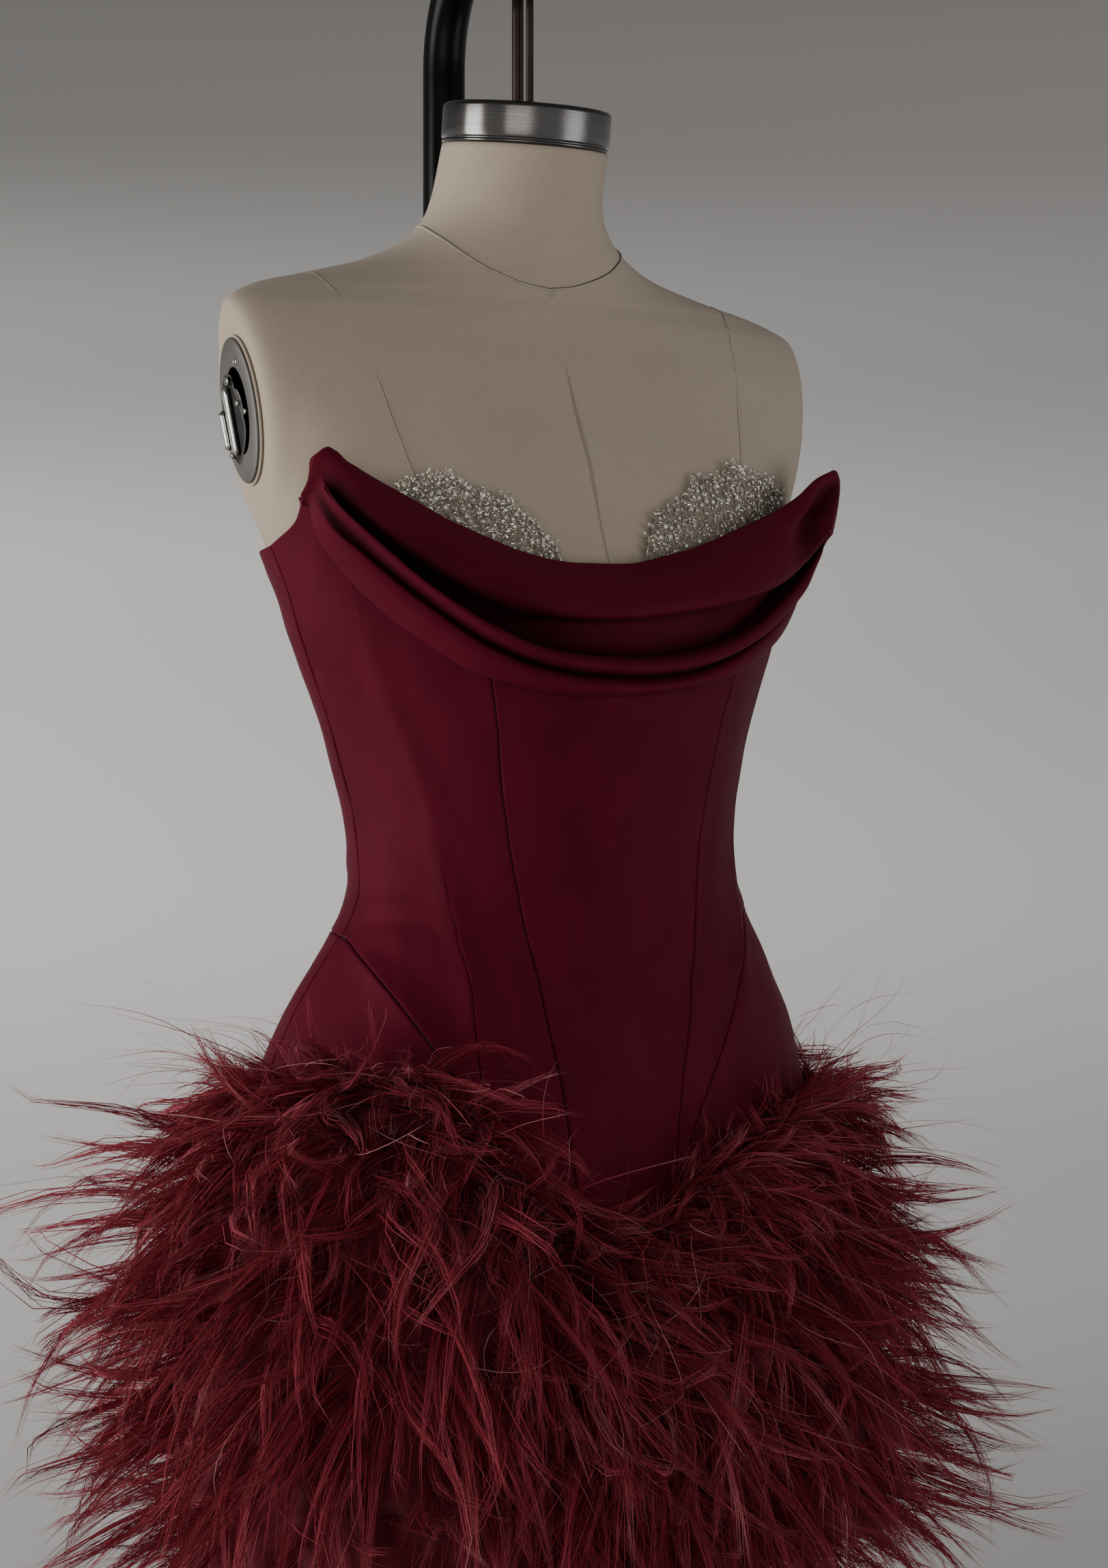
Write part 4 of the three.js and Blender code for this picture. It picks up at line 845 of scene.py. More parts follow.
block_top = POLE_TOP + POLE_BEND - POLE_R - 0.4
bm = bpy.data.meshes.new("hanger_block")
cube = np.array([[x, y, z] for x in (-14, 14) for y in (8, 40) for z in (block_top - 24, block_top)], float)
cf = np.array([[0, 1, 3, 2], [4, 6, 7, 5], [0, 4, 5, 1], [2, 3, 7, 6], [0, 2, 6, 4], [1, 5, 7, 3]])
block = mesh_object("hanger_clamp", cube, facing_out(cube, cf), BASE_BLACK, uv=cube[:, :2])
bev = block.modifiers.new("round", "BEVEL")
bev.width, bev.segments = 0.0026, 3
bpy.context.view_layer.objects.active = block
bpy.ops.object.modifier_apply(modifier="round")
bolts = []
for yy in (16.0, 31.0):
    q = np.array([-13.9, yy, block_top - 12])
    bolts.append(tube("clamp_bolt", np.array([q, q - [2.2, 0, 0], q - [3.0, 0, 0]]), [3.2, 3.2, 2.4], CHROME, n=14))
add(joined("hanger_clamp", [block] + bolts), "black_tube", "stand_hanger_block")
cap_t = math.tan(rad(NECK_TILT))
cap_y, cap_z = RING_Y - RING_H * math.sin(rad(NECK_TILT)), NECK_TOP + 0.45 + RING_H * math.cos(rad(NECK_TILT))
for name, r, yy in (("hanger_rod_back", 3.65, 31.0), ("hanger_rod_front", 2.35, 16.0)):
    foot_z = cap_z + (yy - cap_y) * cap_t + 0.4
    zz = np.array([foot_z, foot_z + 3, block_top - 60, block_top - 24.4])
    rod = tube(name + "_body", np.stack([np.zeros(4), np.full(4, yy), zz], 1), r, BRONZE, n=24)
    nut = tube(name + "_nut", np.array([[0, yy, foot_z + 0.3], [0, yy, foot_z + 1.0], [0, yy, foot_z + 2.6], [0, yy, foot_z + 3.2]]), [r + 1.2, r + 1.6, r + 1.6, r + 0.9], BRONZE, n=24)
    add(joined(name + "_set", [rod, nut]), "bronze_rod", name)

# ------------------------------------------------------------- bodice and skirt
PR = {-1: Curve(PRINCESS[:, 0], PRINCESS[:, 1]), 1: Curve(PRINCESS[:, 0], PRINCESS[:, 2])}
SF = {-1: Curve(SIDE_FRONT[:, 0], SIDE_FRONT[:, 1]), 1: Curve(SIDE_FRONT[:, 0], SIDE_FRONT[:, 2])}
BQ = {-1: Curve(BASQUE[:, 0], BASQUE[:, 1]), 1: Curve(BASQUE[:, 0], BASQUE[:, 2])}
NECK = Curve(NECKLINE[:, 0], NECKLINE[:, 1])


def basque(psi):
    return np.where(np.asarray(psi) < 0, BQ[-1](np.abs(psi)), BQ[1](np.abs(psi)))


def neckline(psi):
    return NECK(np.abs(psi))


def basque_away(z, psi):
    """Distance from the basque seam, mm, positive above it."""
    slope = (basque(psi + 0.4) - basque(psi - 0.4)) / 0.8 / per_degree(z, psi)
    return (z - basque(psi)) / np.sqrt(1 + slope ** 2)


# Creases, listed one by one: how high (mm, below zero for a trough), how wide, then the
# line as (height, angle) stations. The front ones are where the photograph has them.
CREASES = [
    # fold of slack cloth lying along the basque on the wearer's right
    (2.3, 6.0, [(1001, -80), (996, -72), (976, -57), (952, -43.5), (930, -35), (912, -30)]),
    (-1.5, 7.5, [(1004, -76), (999, -66), (990, -55), (975, -44), (955, -36)]),
    # soft pull lines across the waist, wearer's right
    (-0.9, 4.0, [(1013, -82), (1016, -72), (1018, -62), (1015, -53), (1009, -45)]),
    (0.8, 6.0, [(1024, -84), (1027, -70), (1026, -58), (1021, -48)]),
    (-0.6, 3.2, [(1034, -95), (1030, -86), (1029, -79)]),
    (0.5, 5.0, [(1052, -80), (1047, -68), (1046, -58)]),
    # the same, smaller, on the wearer's left
    (-1.0, 5.5, [(1006, 44), (1000, 34), (993, 26)]),
    (0.9, 5.0, [(990, 43), (968, 34), (940, 26), (905, 18.5)]),
    (-0.8, 6.0, [(1018, 62), (1015, 52), (1012, 42)]),
    (0.7, 5.0, [(1028, 70), (1026, 58), (1023, 47)]),
    (-0.6, 4.0, [(1042, 84), (1039, 73), (1037, 62)]),
    # hollow of the hip under the basque
    (-2.0, 13.0, [(996, -80), (974, -70), (953, -62), (936, -56)]),
    (1.0, 12.0, [(975, -90), (950, -82), (926, -74)]),
    (-1.6, 12.0, [(1000, 84), (985, 74), (972, 62)]),
    (-1.3, 13.0, [(990, 104), (968, 112), (946, 118)]),
    (-1.4, 13.0, [(990, -104), (970, -113), (948, -120)]),
    # across the hollow of the back
    (-1.2, 4.5, [(1040, -108), (1034, -122), (1033, -136), (1037, -144)]),
    (0.9, 6.0, [(1052, -104), (1047, -120), (1046, -138)]),
    (-0.9, 4.0, [(1062, -112), (1059, -126), (1060, -140)]),
    (-1.1, 4.5, [(1036, 106), (1031, 120), (1032, 134), (1036, 144)]),
    (0.8, 6.0, [(1048, 102), (1043, 118), (1044, 136)]),
    (-0.8, 4.0, [(1066, 116), (1062, 128), (1064, 142)]),
    (-0.9, 4.5, [(1030, -149), (1026, -160), (1030, -172)]),
    (-0.8, 4.5, [(1034, 149), (1029, 161), (1031, 172)]),
    (0.7, 5.5, [(1044, -150), (1040, -163), (1042, -173)]),
    (0.7, 5.5, [(1046, 150), (1042, 162), (1044, 172)]),
    (-0.6, 5.0, [(1084, -150), (1080, -164), (1083, -174)]),
    (-0.5, 5.0, [(1090, 152), (1086, 164), (1088, 173)]),
    # pulls towards the armhole, from the bust
    (-0.5, 5.0, [(1226, -70), (1216, -62), (1208, -52)]),
    (0.4, 6.0, [(1214, -78), (1204, -68), (1197, -58)]),
    (-0.5, 5.0, [(1224, 72), (1214, 63), (1207, 54)]),
]


def creases(z, psi):
    """How far the listed creases lift the cloth here, mm."""
    z, psi = np.broadcast_arrays(np.asarray(z, float), np.asarray(psi, float))
    # the cloth turns from the side to the front along the side front seam
    pd = per_degree(z, psi)
    out = np.zeros(z.shape)
    for sg, high in ((-1, 1.7), (1, 1.0)):
        away = (psi - sg * SF[sg](z)) * pd
        out += high * np.exp(-((away / 8.5) ** 2)) * smooth(925, 985, z) * (1 - smooth(1150, 1215, z)) * (psi * sg > 0)
    for high, wide, line in CREASES:
        line = np.asarray(line, float)
        s = np.concatenate([[0], np.cumsum(np.hypot(np.diff(line[:, 0]), np.diff(line[:, 1]) * 2.4))])
        t = np.linspace(0, s[-1], 28)
        lz, la = Curve(s, line[:, 0])(t), Curve(s, line[:, 1])(t)
        near = (z > lz.min() - 4 * wide) & (z < lz.max() + 4 * wide) & (psi > la.min() - 4 * wide / 2) & (psi < la.max() + 4 * wide / 2)
        if not near.any():
            continue
        zz, aa = z[near], psi[near]
        pd = per_degree(zz, aa)
        d2 = (zz[:, None] - lz[None]) ** 2 + ((aa[:, None] - la[None]) * pd[:, None]) ** 2
        k = d2.argmin(1)
        along = t[k] / s[-1]
        fade = np.sin(np.pi * np.clip(0.08 + 0.84 * along, 0, 1)) ** 0.7
        out[near] += high * fade * np.exp(-d2[np.arange(len(k)), k] / wide ** 2)
    return out


NEAR = np.array([0.25, 0.42, 0.62, 0.90, 1.35, 2.1, 3.1])
GAP = 0.25


def valley(d, deep=1.3, w=0.55, lip=0.13):
    d = np.abs(d)
    return deep / 1.3 * (-1.3 * np.exp(-((d / w) ** 2)) + lip * np.exp(-(((d - 2.0) / 1.2) ** 2)))


def solve(line, edge, lo, hi, rising):
    """Height where each column's line meets an edge given by angle."""
    lo, hi = lo.copy(), hi.copy()
    for _ in range(36):
        z = (lo + hi) / 2
        over = z - edge(line(z)) >= 0
        lo, hi = np.where(over, lo, z), np.where(over, z, hi)
    return (lo + hi) / 2


NEAR_FAINT = np.concatenate([[0.0], NEAR[1:]])


def cut_piece(name, left, right, foot, head, span, step, foot_seam, head_seam, wall=1.2, rough=0.3, seed=1, sides=(1, 1), loosen=None):
    """One cut piece of cloth between two seam lines (angle by height) and two edges (height by angle)."""
    mid_z = (span[0] + span[1]) / 2
    width = float(np.mean([(right(z) - left(z)) * per_degree(z, (left(z) + right(z)) / 2) for z in (lerp(span[0], span[1], 0.3), mid_z, lerp(span[0], span[1], 0.8))]))
    n_mid = max(5, int(round(width / step[0])))
    count = len(NEAR)

    def line(z):
        """Angle for each column at heights z (columns first)."""
        z = np.asarray(z, float)
        a, b = left(z), right(z)
        pa, pb = per_degree(z, a), per_degree(z, b)
        out = np.empty(z.shape)
        i = np.arange(count * 2 + n_mid)
        lo = a + NEAR[-1] / pa
        hi = b - NEAR[-1] / pb
        t = (np.arange(n_mid) + 1) / (n_mid + 1)
        t = t.reshape([-1] + [1] * (z.ndim - 1))
        out[count:count + n_mid] = lerp(lo[count:count + n_mid], hi[count:count + n_mid], t)
        shape = [-1] + [1] * (z.ndim - 1)
        na = (NEAR_FAINT if sides[0] == "faint" else NEAR).reshape(shape)
        nb = (NEAR_FAINT if sides[1] == "faint" else NEAR).reshape(shape)
        out[:count] = (a[:count] + na / pa[:count])
        out[count + n_mid:] = (b[count + n_mid:] - nb[::-1] / pb[count + n_mid:])
        return out

    cols = count * 2 + n_mid
    zb = solve(line, foot, np.full(cols, span[0]), np.full(cols, span[1]), True)
    zt = solve(line, head, zb + 1.0, np.full(cols, span[2]), True)
    rows_mid = max(6, int(round(float(np.median(zt - zb)) / step[1])))

    def steep(edge, z, a):
        return np.sqrt(1 + ((edge(a + 0.4) - edge(a - 0.4)) / 0.8 / per_degree(z, a)) ** 2)

    kb = steep(foot, zb, line(zb)) if foot_seam else np.ones(cols)
    kt = steep(head, zt, line(zt)) if head_seam else np.ones(cols)
    low = zb[:, None] + NEAR[None] * kb[:, None]
    high = zt[:, None] - NEAR[None, ::-1] * kt[:, None]
    room = (zt - zb)[:, None]
    low = np.minimum(low, zb[:, None] + room * 0.3 * (np.arange(count) + 1) / count)
    high = np.maximum(high, zt[:, None] - room * 0.3 * (np.arange(count)[::-1] + 1) / count)
    t = (np.arange(rows_mid) + 1) / (rows_mid + 1)
    z = np.concatenate([low, lerp(low[:, -1:], high[:, :1], t[None]), high], 1)
    a = line(z)
    la, ra = left(z), right(z)
    off = np.full(z.shape, OUTER)
    for away, weight in (((a - la) * per_degree(z, a), sides[0]), ((ra - a) * per_degree(z, a), sides[1])):
        # a pressed seam high on the bodice, which shows more as it nears the basque
        off += valley(away, 1.3 * (lerp(1.0, 0.015, smooth(930, 1050, z)) if weight == "faint" else weight))
    if foot_seam or head_seam:
        off += valley(basque_away(z, a), 1.2)
    if not foot_seam:
        off += -0.3 * np.exp(-(((z - zb[:, None] - 22) / 1.1) ** 2))
    if not head_seam:  # stitched edge
        off += -0.28 * np.exp(-(((zt[:, None] - z - 4.6) / 0.7) ** 2)) + 0.15 * np.exp(-(((zt[:, None] - z - 2.2) / 1.6) ** 2))
    base = dress(z, a, off)
    soft = rough * wander(base, seed, 46.0) + 0.45 * rough * wander(base, seed + 50, 17.0)
    lift = creases(z, a) + soft
    if loosen is not None:
        lift = lift + loosen(z, a)
    off = off + lift
    off = np.maximum(off, EASE + wall * 0.7)
    outer = dress(z, a, off)
    inner = dress(z, a, off - wall)
    co, f, uv = shell_of(outer, inner, grid_map(outer), 0.05 if "faint" in sides else 0.2)
    ob = mesh_object(name, co, tris_of(f), CREPE, uv=uv)
    # where the cloth runs on over a hardly visible seam, the face stays flat to its edge
    ni, nj = outer.shape[:2]
    edge_v = np.empty(len(ob.data.edges) * 2, np.int32)
    ob.data.edges.foreach_get("vertices", edge_v)
    edge_v = edge_v.reshape(-1, 2)
    crease = np.zeros(len(edge_v), bool)
    for side, col in zip(sides, (0, ni - 1)):
        if side == "faint":
            crease |= ((edge_v >= col * nj) & (edge_v < col * nj + nj)).all(1)
    if crease.any():
        at = ob.data.attributes.new("sharp_edge", "BOOLEAN", "EDGE")
        at.data.foreach_set("value", crease)
    w = float(np.median(np.linalg.norm(np.diff(outer, axis=0), axis=2).sum(0)))
    size = [float(np.linalg.norm(np.diff(outer, axis=0), axis=2).sum(0).max()), float(np.linalg.norm(np.diff(outer, axis=1), axis=2).sum(1).max())]
    return ob, size, area_of(outer)


def shell_of(outer, inner, uv, roll):
    co, f, m = shell(outer, inner, uv)
    ni, nj = outer.shape[:2]
    n = 2 * ni * nj
    # draw the rolled rim in to a smaller radius
    ring_i = np.concatenate([np.arange(ni), np.full(nj - 1, ni - 1), np.arange(ni - 2, -1, -1), np.zeros(nj - 2, int)])
    ring_j = np.concatenate([np.zeros(ni, int), np.arange(1, nj), np.full(ni - 1, nj - 1), np.arange(nj - 2, 0, -1)])
    mid = (outer[ring_i, ring_j] + inner[ring_i, ring_j]) / 2
    co[n:] = mid + (co[n:] - mid) * (roll / 0.42)
    return co, f, m


FLAT = {}


def cloth_panel(name, node, *args, held="stretched", rests=("form_torso",), **kw):
    ob, size, area = cut_piece(name, *args, **kw)
    add(ob, "crepe", node)
    FLAT[ob.name] = (size, area, held, rests)
    return ob


V_GAP = 0.12
foot_b = lambda a: basque(a) + V_GAP
head_b = lambda a: basque(a) - V_GAP
hem = lambda a: np.full(np.shape(a), HEM_Z)
flat_line = lambda v: (lambda z: np.full(np.shape(z), float(v)))
SPAN = (780.0, 1100.0, 1300.0)
ZIP_GAP = 2.35


def back_line(sign):
    return lambda z: sign * (180 - (ZIP_GAP - GAP) / per_degree(np.asarray(z, float), 179.0))


panel_step = (6.5, 5.2)
cloth_panel("panel_front_centre", "bodice_front_centre", lambda z: -PR[-1](z), lambda z: PR[1](z), foot_b, neckline, SPAN, panel_step, True, False, seed=3)
cloth_panel("panel_front_right", "bodice_front_right", lambda z: -SF[-1](z), lambda z: -PR[-1](z), foot_b, neckline, SPAN, panel_step, True, False, seed=5, sides=("faint", 1))
cloth_panel("panel_front_left", "bodice_front_left", lambda z: PR[1](z), lambda z: SF[1](z), foot_b, neckline, SPAN, panel_step, True, False, seed=7, sides=(1, "faint"))
cloth_panel("panel_side_front_right", "bodice_side_front_right", flat_line(-SIDE), lambda z: -SF[-1](z), foot_b, neckline, SPAN, (6.5, 4.6), True, False, seed=9, sides=(1, "faint"))
cloth_panel("panel_side_front_left", "bodice_side_front_left", lambda z: SF[1](z), flat_line(SIDE), foot_b, neckline, SPAN, (6.5, 4.6), True, False, seed=11, sides=("faint", 1))
cloth_panel("panel_side_back_right", "bodice_side_back_right", flat_line(-BACK_SEAM), flat_line(-SIDE), foot_b, neckline, SPAN, panel_step, True, False, seed=13)
cloth_panel("panel_side_back_left", "bodice_side_back_left", flat_line(SIDE), flat_line(BACK_SEAM), foot_b, neckline, SPAN, panel_step, True, False, seed=15)
cloth_panel("panel_back_right", "bodice_back_right", back_line(-1), flat_line(-BACK_SEAM), foot_b, neckline, SPAN, panel_step, True, False, seed=17, sides=(0.55, 1))
cloth_panel("panel_back_left", "bodice_back_left", flat_line(BACK_SEAM), back_line(1), foot_b, neckline, SPAN, panel_step, True, False, seed=19, sides=(1, 0.55))

SKIRT = (HEM_Z - 8.0, 700.0, 1100.0)
skirt_step = (8.5, 6.5)
skirt_hang = lambda z, a: 0.8 * np.sin(rad(a) * 7 + 1.3) * smooth(820, 640, z) + 0.5 * np.sin(rad(a) * 13 + 0.4) * smooth(780, 640, z)
cloth_panel("skirt_panel_front_right", "skirt_front_right", flat_line(-90), flat_line(0), hem, head_b, SKIRT, skirt_step, False, True, seed=23, loosen=skirt_hang, sides=(1, 0.6))
cloth_panel("skirt_panel_front_left", "skirt_front_left", flat_line(0), flat_line(90), hem, head_b, SKIRT, skirt_step, False, True, seed=25, loosen=skirt_hang, sides=(0.6, 1))
cloth_panel("skirt_panel_back_right", "skirt_back_right", back_line(-1), flat_line(-90), hem, head_b, SKIRT, skirt_step, False, True, seed=27, loosen=skirt_hang, sides=(0.55, 1))
cloth_panel("skirt_panel_back_left", "skirt_back_left", flat_line(90), back_line(1), hem, head_b, SKIRT, skirt_step, False, True, seed=29, loosen=skirt_hang, sides=(1, 0.55))


def centre_back(name, z0, z1, across, mats, slot, node, teeth):
    """The narrow strip up the centre back: tapes meeting in a closed line, with the coil showing as fine ribs."""
    n = int((z1 - z0) / (1.15 if teeth else 4.0))
    if teeth:
        n = int((z1 - z0) / 1.9)
    z = np.linspace(z0, z1, n)
    u = np.linspace(-1, 1, 9)
    zz, uu = np.meshgrid(z, u)
    h = -0.55 * np.exp(-((uu / 0.10) ** 2)) + 0.30 * np.exp(-(((np.abs(uu) - 0.34) / 0.16) ** 2)) - 0.35 * np.abs(uu) ** 3
    if teeth:
        h += 0.16 * np.sin(zz * 2 * np.pi / 4.4 + np.sign(uu) * 0.8) * np.exp(-(((np.abs(uu) - 0.3) / 0.16) ** 2))
    a = 180 + uu * across / per_degree(zz, 179.0)
    off = OUTER - 0.55 + h + creases(zz, 172.0 * np.ones_like(zz)) * 0.5
    outer = skin(zz, a, off)
    inner = skin(zz, a, off - 1.0)
    co, f, uv = shell_of(outer, inner, grid_map(outer), 0.12)
    ob = add(mesh_object(name, co, tris_of(f), mats, uv=uv), slot, node)
    return ob


centre_back("zip_closed", 872.0, 1224.0, 1.95, ZIP, "zip_tape", "zip_centre_back", True)
centre_back("skirt_seam_back", HEM_Z, 871.2, 1.95, CREPE, "crepe", "skirt_back_seam", False)

# ------------------------------------------------------------------------ cowl
# One cloth gathered into folds between two points: for each line along it, its height
# at these stations across the body, then how far it stands off the form.
CX = np.array([-172, -160, -145, -120, -90, -60, -30, 0, 30, 60, 90, 120, 145, 160, 172], float)
LINE_TOP = [1288, 1279.5, 1270.8, 1257, 1241.5, 1229.8, 1225.6, 1226, 1231.5, 1239.5, 1250.5, 1262.0, 1274.5, 1286.5, 1292.5]
LINE_ROLL = [1272, 1258.5, 1244, 1223.5, 1205, 1195.2, 1192.2, 1193, 1196.7, 1201.6, 1209.4, 1219.5, 1233.6, 1244.5, 1253]
LINE_HOLLOW = [1267, 1250.5, 1234.5, 1211, 1189.8, 1177.6, 1172.5, 1171.5, 1174.5, 1181.5, 1193.8, 1210.5, 1227.5, 1240, 1249]
LINE_FOLD = [1262.5, 1245.8, 1229.5, 1205.8, 1182.4, 1169.5, 1164.2, 1163, 1165.6, 1172.5, 1184.5, 1200, 1217, 1232, 1243]
LINE_EDGE = [1258, 1228, 1205, 1180, 1159.6, 1151.2, 1147.7, 1148.2, 1151.6, 1156.6, 1166, 1179, 1195, 1212, 1230]
L_TOP, L_ROLL, L_HOLLOW, L_FOLD, L_EDGE = [Curve(CX, v) for v in (LINE_TOP, LINE_ROLL, LINE_HOLLOW, LINE_FOLD, LINE_EDGE)]


def angle_for(x, z, off):
    """Angle at which the skin moved out by off comes to this x."""
    lo, hi = np.full(np.shape(x), -89.9), np.full(np.shape(x), 89.9)
    for _ in range(34):
        m = (lo + hi) / 2
        over = skin(z, m, off)[..., 0] > x
        lo, hi = np.where(over, lo, m), np.where(over, m, hi)
    return (lo + hi) / 2


def spline_rows(p, n, power=0.5):
    """n rows through the control rows of p (columns, rows, 3), even along the cloth."""
    d = np.linalg.norm(np.diff(p, axis=1), axis=2).mean(0) ** power
    s = np.concatenate([[0], np.cumsum(d)])
    h = np.diff(s)
    sl = np.diff(p, axis=1) / h[None, :, None]
    m = np.empty_like(p)
    m[:, 0], m[:, -1] = sl[:, 0], sl[:, -1]
    w = (h[:-1] / (h[:-1] + h[1:]))[None, :, None]
    m[:, 1:-1] = sl[:, :-1] * (1 - w) + sl[:, 1:] * w
    length = np.linalg.norm(np.diff(p, axis=1), axis=2).mean(0)
    true = np.concatenate([[0], np.cumsum(length)])
    t = np.interp(np.linspace(0, true[-1], n), true, s)
    i = np.clip(np.searchsorted(s, t, side="right") - 1, 0, len(s) - 2)
    u = ((t - s[i]) / h[i])[None, :, None]
    hh = h[i][None, :, None]
    u2, u3 = u * u, u * u * u
    return i + u[0, :, 0], ((2 * u3 - 3 * u2 + 1) * p[:, i] + (u3 - 2 * u2 + u) * hh * m[:, i] + (3 * u2 - 2 * u3) * p[:, i + 1] + (u3 - u2) * hh * m[:, i + 1])


# how far each row stands off the form where the folds run together, at either end
END_OFF = [24, 29, 32, 34, 35.4, 36.2, 36.6, 36.6, 36.3, 35.8, 35.2, 34.5, 33.7, 32.8, 31.8, 30.7, 29.5, 28.2, 26.8, 25.3, 23.7, 22.0, 20.2, 18.3, 16.2, 14.0, 12.2, 10.6]


def cowl_grid():
    n = 136
    t = np.sin(np.linspace(-1, 1, n) * np.pi / 2 * 0.93) / math.sin(math.pi / 2 * 0.93)
    x = 176 * t
    s3 = np.minimum(np.abs(x) / 172, 1.02) ** 3
    top, roll, hollow, fold, edge = L_TOP(x), L_ROLL(x), L_HOLLOW(x), L_FOLD(x), L_EDGE(x)
    top = top - 3.0 * np.exp(-((x + 166.5) / 6.0) ** 2) + 1.5 * smooth(-0.985, -1.0, t)
    crisp = smooth(-0.42, -0.02, t)              # the roll's lower edge turns from soft to sharp
    crisp = crisp * (1 - 0.45 * smooth(0.62, 0.95, t))
    dip = smooth(0.66, 0.90, t) * (1 - smooth(0.93, 0.992, t))  # the wearer's left point folds in on itself
    dip2 = smooth(0.84, 0.94, t) * (1 - smooth(0.95, 0.995, t))
    inner = smooth(-0.35, 0.0, t) * (1 - smooth(0.55, 0.8, t))   # second soft fold inside the hollow
    meet_l, meet_r = smooth(-0.87, -0.985, t), smooth(0.945, 0.995, t)   # the folds run together into each point
    right = smooth(0.45, 0.85, t)                # behind the wearer's left point the cloth turns down steeply
    rows = [
        (top - lerp(lerp(9, 4, s3), 14.0, right), 7.2, 24), (top - lerp(lerp(3.5, 2, s3), 8.5, right), 8.0, 29), (top - lerp(0.8, 3.6, right), 9.0, 32.5), (top, 11.2, 35), (lerp(top, roll, 0.10), 13.8, 37),
        (lerp(top, roll, 0.28), 17.8, 39), (lerp(top, roll, 0.54), 21.4, 39.6), (lerp(top, roll, 0.80), 23.2, 39.4),
        (roll + 1.2 * crisp + 0.5, lerp(21.6, 22.0, crisp), 37.8),
        (roll - lerp(2.0, 0.1, crisp), lerp(18.0, 18.6, crisp), 34.8),
        (roll + lerp(-1.6, 2.8, crisp), lerp(11.2, 11.8, crisp), 29.5),
        (lerp(roll, hollow, 0.26) + 1.4 * crisp, 6.4 + 1.6 * inner, 21),
        (lerp(roll, hollow, 0.60), 4.6 + 1.0 * inner, 17),
        (lerp(roll, hollow, 0.98) - 0.6, 4.4, 16.5),
        (hollow - 1.0, 11.5, 27), (lerp(hollow, fold, 0.40), 19.6, 33.4), (fold, 21.0, 32.8),
        (fold - 1.7, 18.6, 31.0), (fold - 2.9, 12.2, 26.4), (fold - 3.3, 8.4, 22.6), (fold - 4.8, 8.8, 21.8),
        (fold - 7.0, 12.2, 22.6), (lerp(fold - 5, edge, 0.50), 14.2, 19.6), (lerp(fold - 5, edge, 0.82), 13.2, 15.8), (edge + 0.5, 10.2, 12.2),
        (edge, 8.0, 10.4), (edge + lerp(2.6, 1.4, s3), 6.9, 9.4), (edge + lerp(9, 4, s3), 6.7, 8.8),
    ]
    floor_gap = [1.8, 1.8, 1.8, 2, 3, 5, 6, 6, 5, 4, 3, 1.8, 1.4, 1.8, 4, 6.5, 6.5, 5, 3.4, 2.0, 2.2, 3.6, 4.6, 3.8, 2.6, 1.8, 1.2, 1.2]
    ctrl = []
    for k, ((z, c, h), gap) in enumerate(zip(rows, floor_gap)):
        q = min(max((k - 3) / 22.0, 0.0), 1.0)
        fold_in = (0 if k > 2 else lerp((4.0, 2.0, 0.8)[k], (14.0, 8.5, 3.6)[k], right), 0 if k < 26 else (1.4, 4.0)[k - 26])
        even = lerp(top, edge, q) - fold_in[0] + fold_in[1]
        z = lerp(z, even, meet_l)
        knots = [top, lerp(top, roll, 0.10), lerp(top, roll, 0.28), lerp(top, roll, 0.54), lerp(top, roll, 0.80), roll, roll - 1.2, hollow, fold, lerp(fold, edge, 0.55), edge]
        at_k = [3, 4, 5, 6, 7, 8, 10, 13, 16, 21, 25]
        j = int(np.clip(np.searchsorted(at_k, k, side="right") - 1, 0, len(at_k) - 2))
        smooth_z = lerp(knots[j], knots[j + 1], min(max((k - at_k[j]) / (at_k[j + 1] - at_k[j]), 0.0), 1.0)) - fold_in[0] + fold_in[1]
        z = lerp(z, smooth_z, meet_r)
        off = lerp(c, h, s3)
        off = lerp(off, END_OFF[k], np.maximum(meet_l, meet_r))
        # the points are rounded: the first and last rows stop a little short
        near_l, near_r = smooth(-0.86, -1.0, t), smooth(0.84, 1.0, t)
        short_l = 3.5 * (1 - math.sqrt(1 - (1 - min(q / 0.14, 1.0)) ** 2)) - 5.5 * smooth(0.02, 0.25, q)
        down = np.clip((top - smooth_z - fold_in[0] + fold_in[1]) / (top - edge), 0, 1)
        short_r = np.interp(down, [0, 0.05, 0.13, 0.25, 0.45, 0.7, 1.0], [-5.5, -7.8, -8.4, -7.0, -2.0, 4.5, 9.5])
        under = float(np.interp(q, [0.3, 0.35, 0.56, 0.84, 1.0], [0, 0.4, 1.7, 2.4, 6.0]))
        xk = x + short_l * near_l + under * smooth(-0.93, -1.0, t) - short_r * near_r
        psi = angle_for(xk, z, off)
        for _ in range(3):
            seat = OUTER + corner(z, psi) + gap
            off2 = np.maximum(off, seat)
            psi = angle_for(xk, z, off2)
        # where the point folds in on itself the cloth goes in, without moving along
        inward = {4: 1.0 * dip2, 5: 6.0 * dip2 + 1.5 * dip, 6: 10.5 * dip, 7: 6.0 * dip, 8: 1.5 * dip}.get(k)
        if inward is not None:
            off2 = np.maximum(off2 - inward, OUTER + corner(z, psi) + 2.5)
        ctrl.append([z, psi, off2])
    for k, lead in ((0, 3), (1, 3), (2, 3), (26, 25), (27, 25)):   # turned-in rows lie straight behind the edges
        ctrl[k][1] = ctrl[lead][1]
        seat = OUTER + corner(ctrl[k][0], ctrl[k][1]) + floor_gap[k]
        ctrl[k][2] = np.maximum(np.minimum(ctrl[k][2], ctrl[lead][2] - 0.6 * abs(k - lead)), seat)
    p = np.stack([skin(z, a, o) for z, a, o in ctrl], 1)
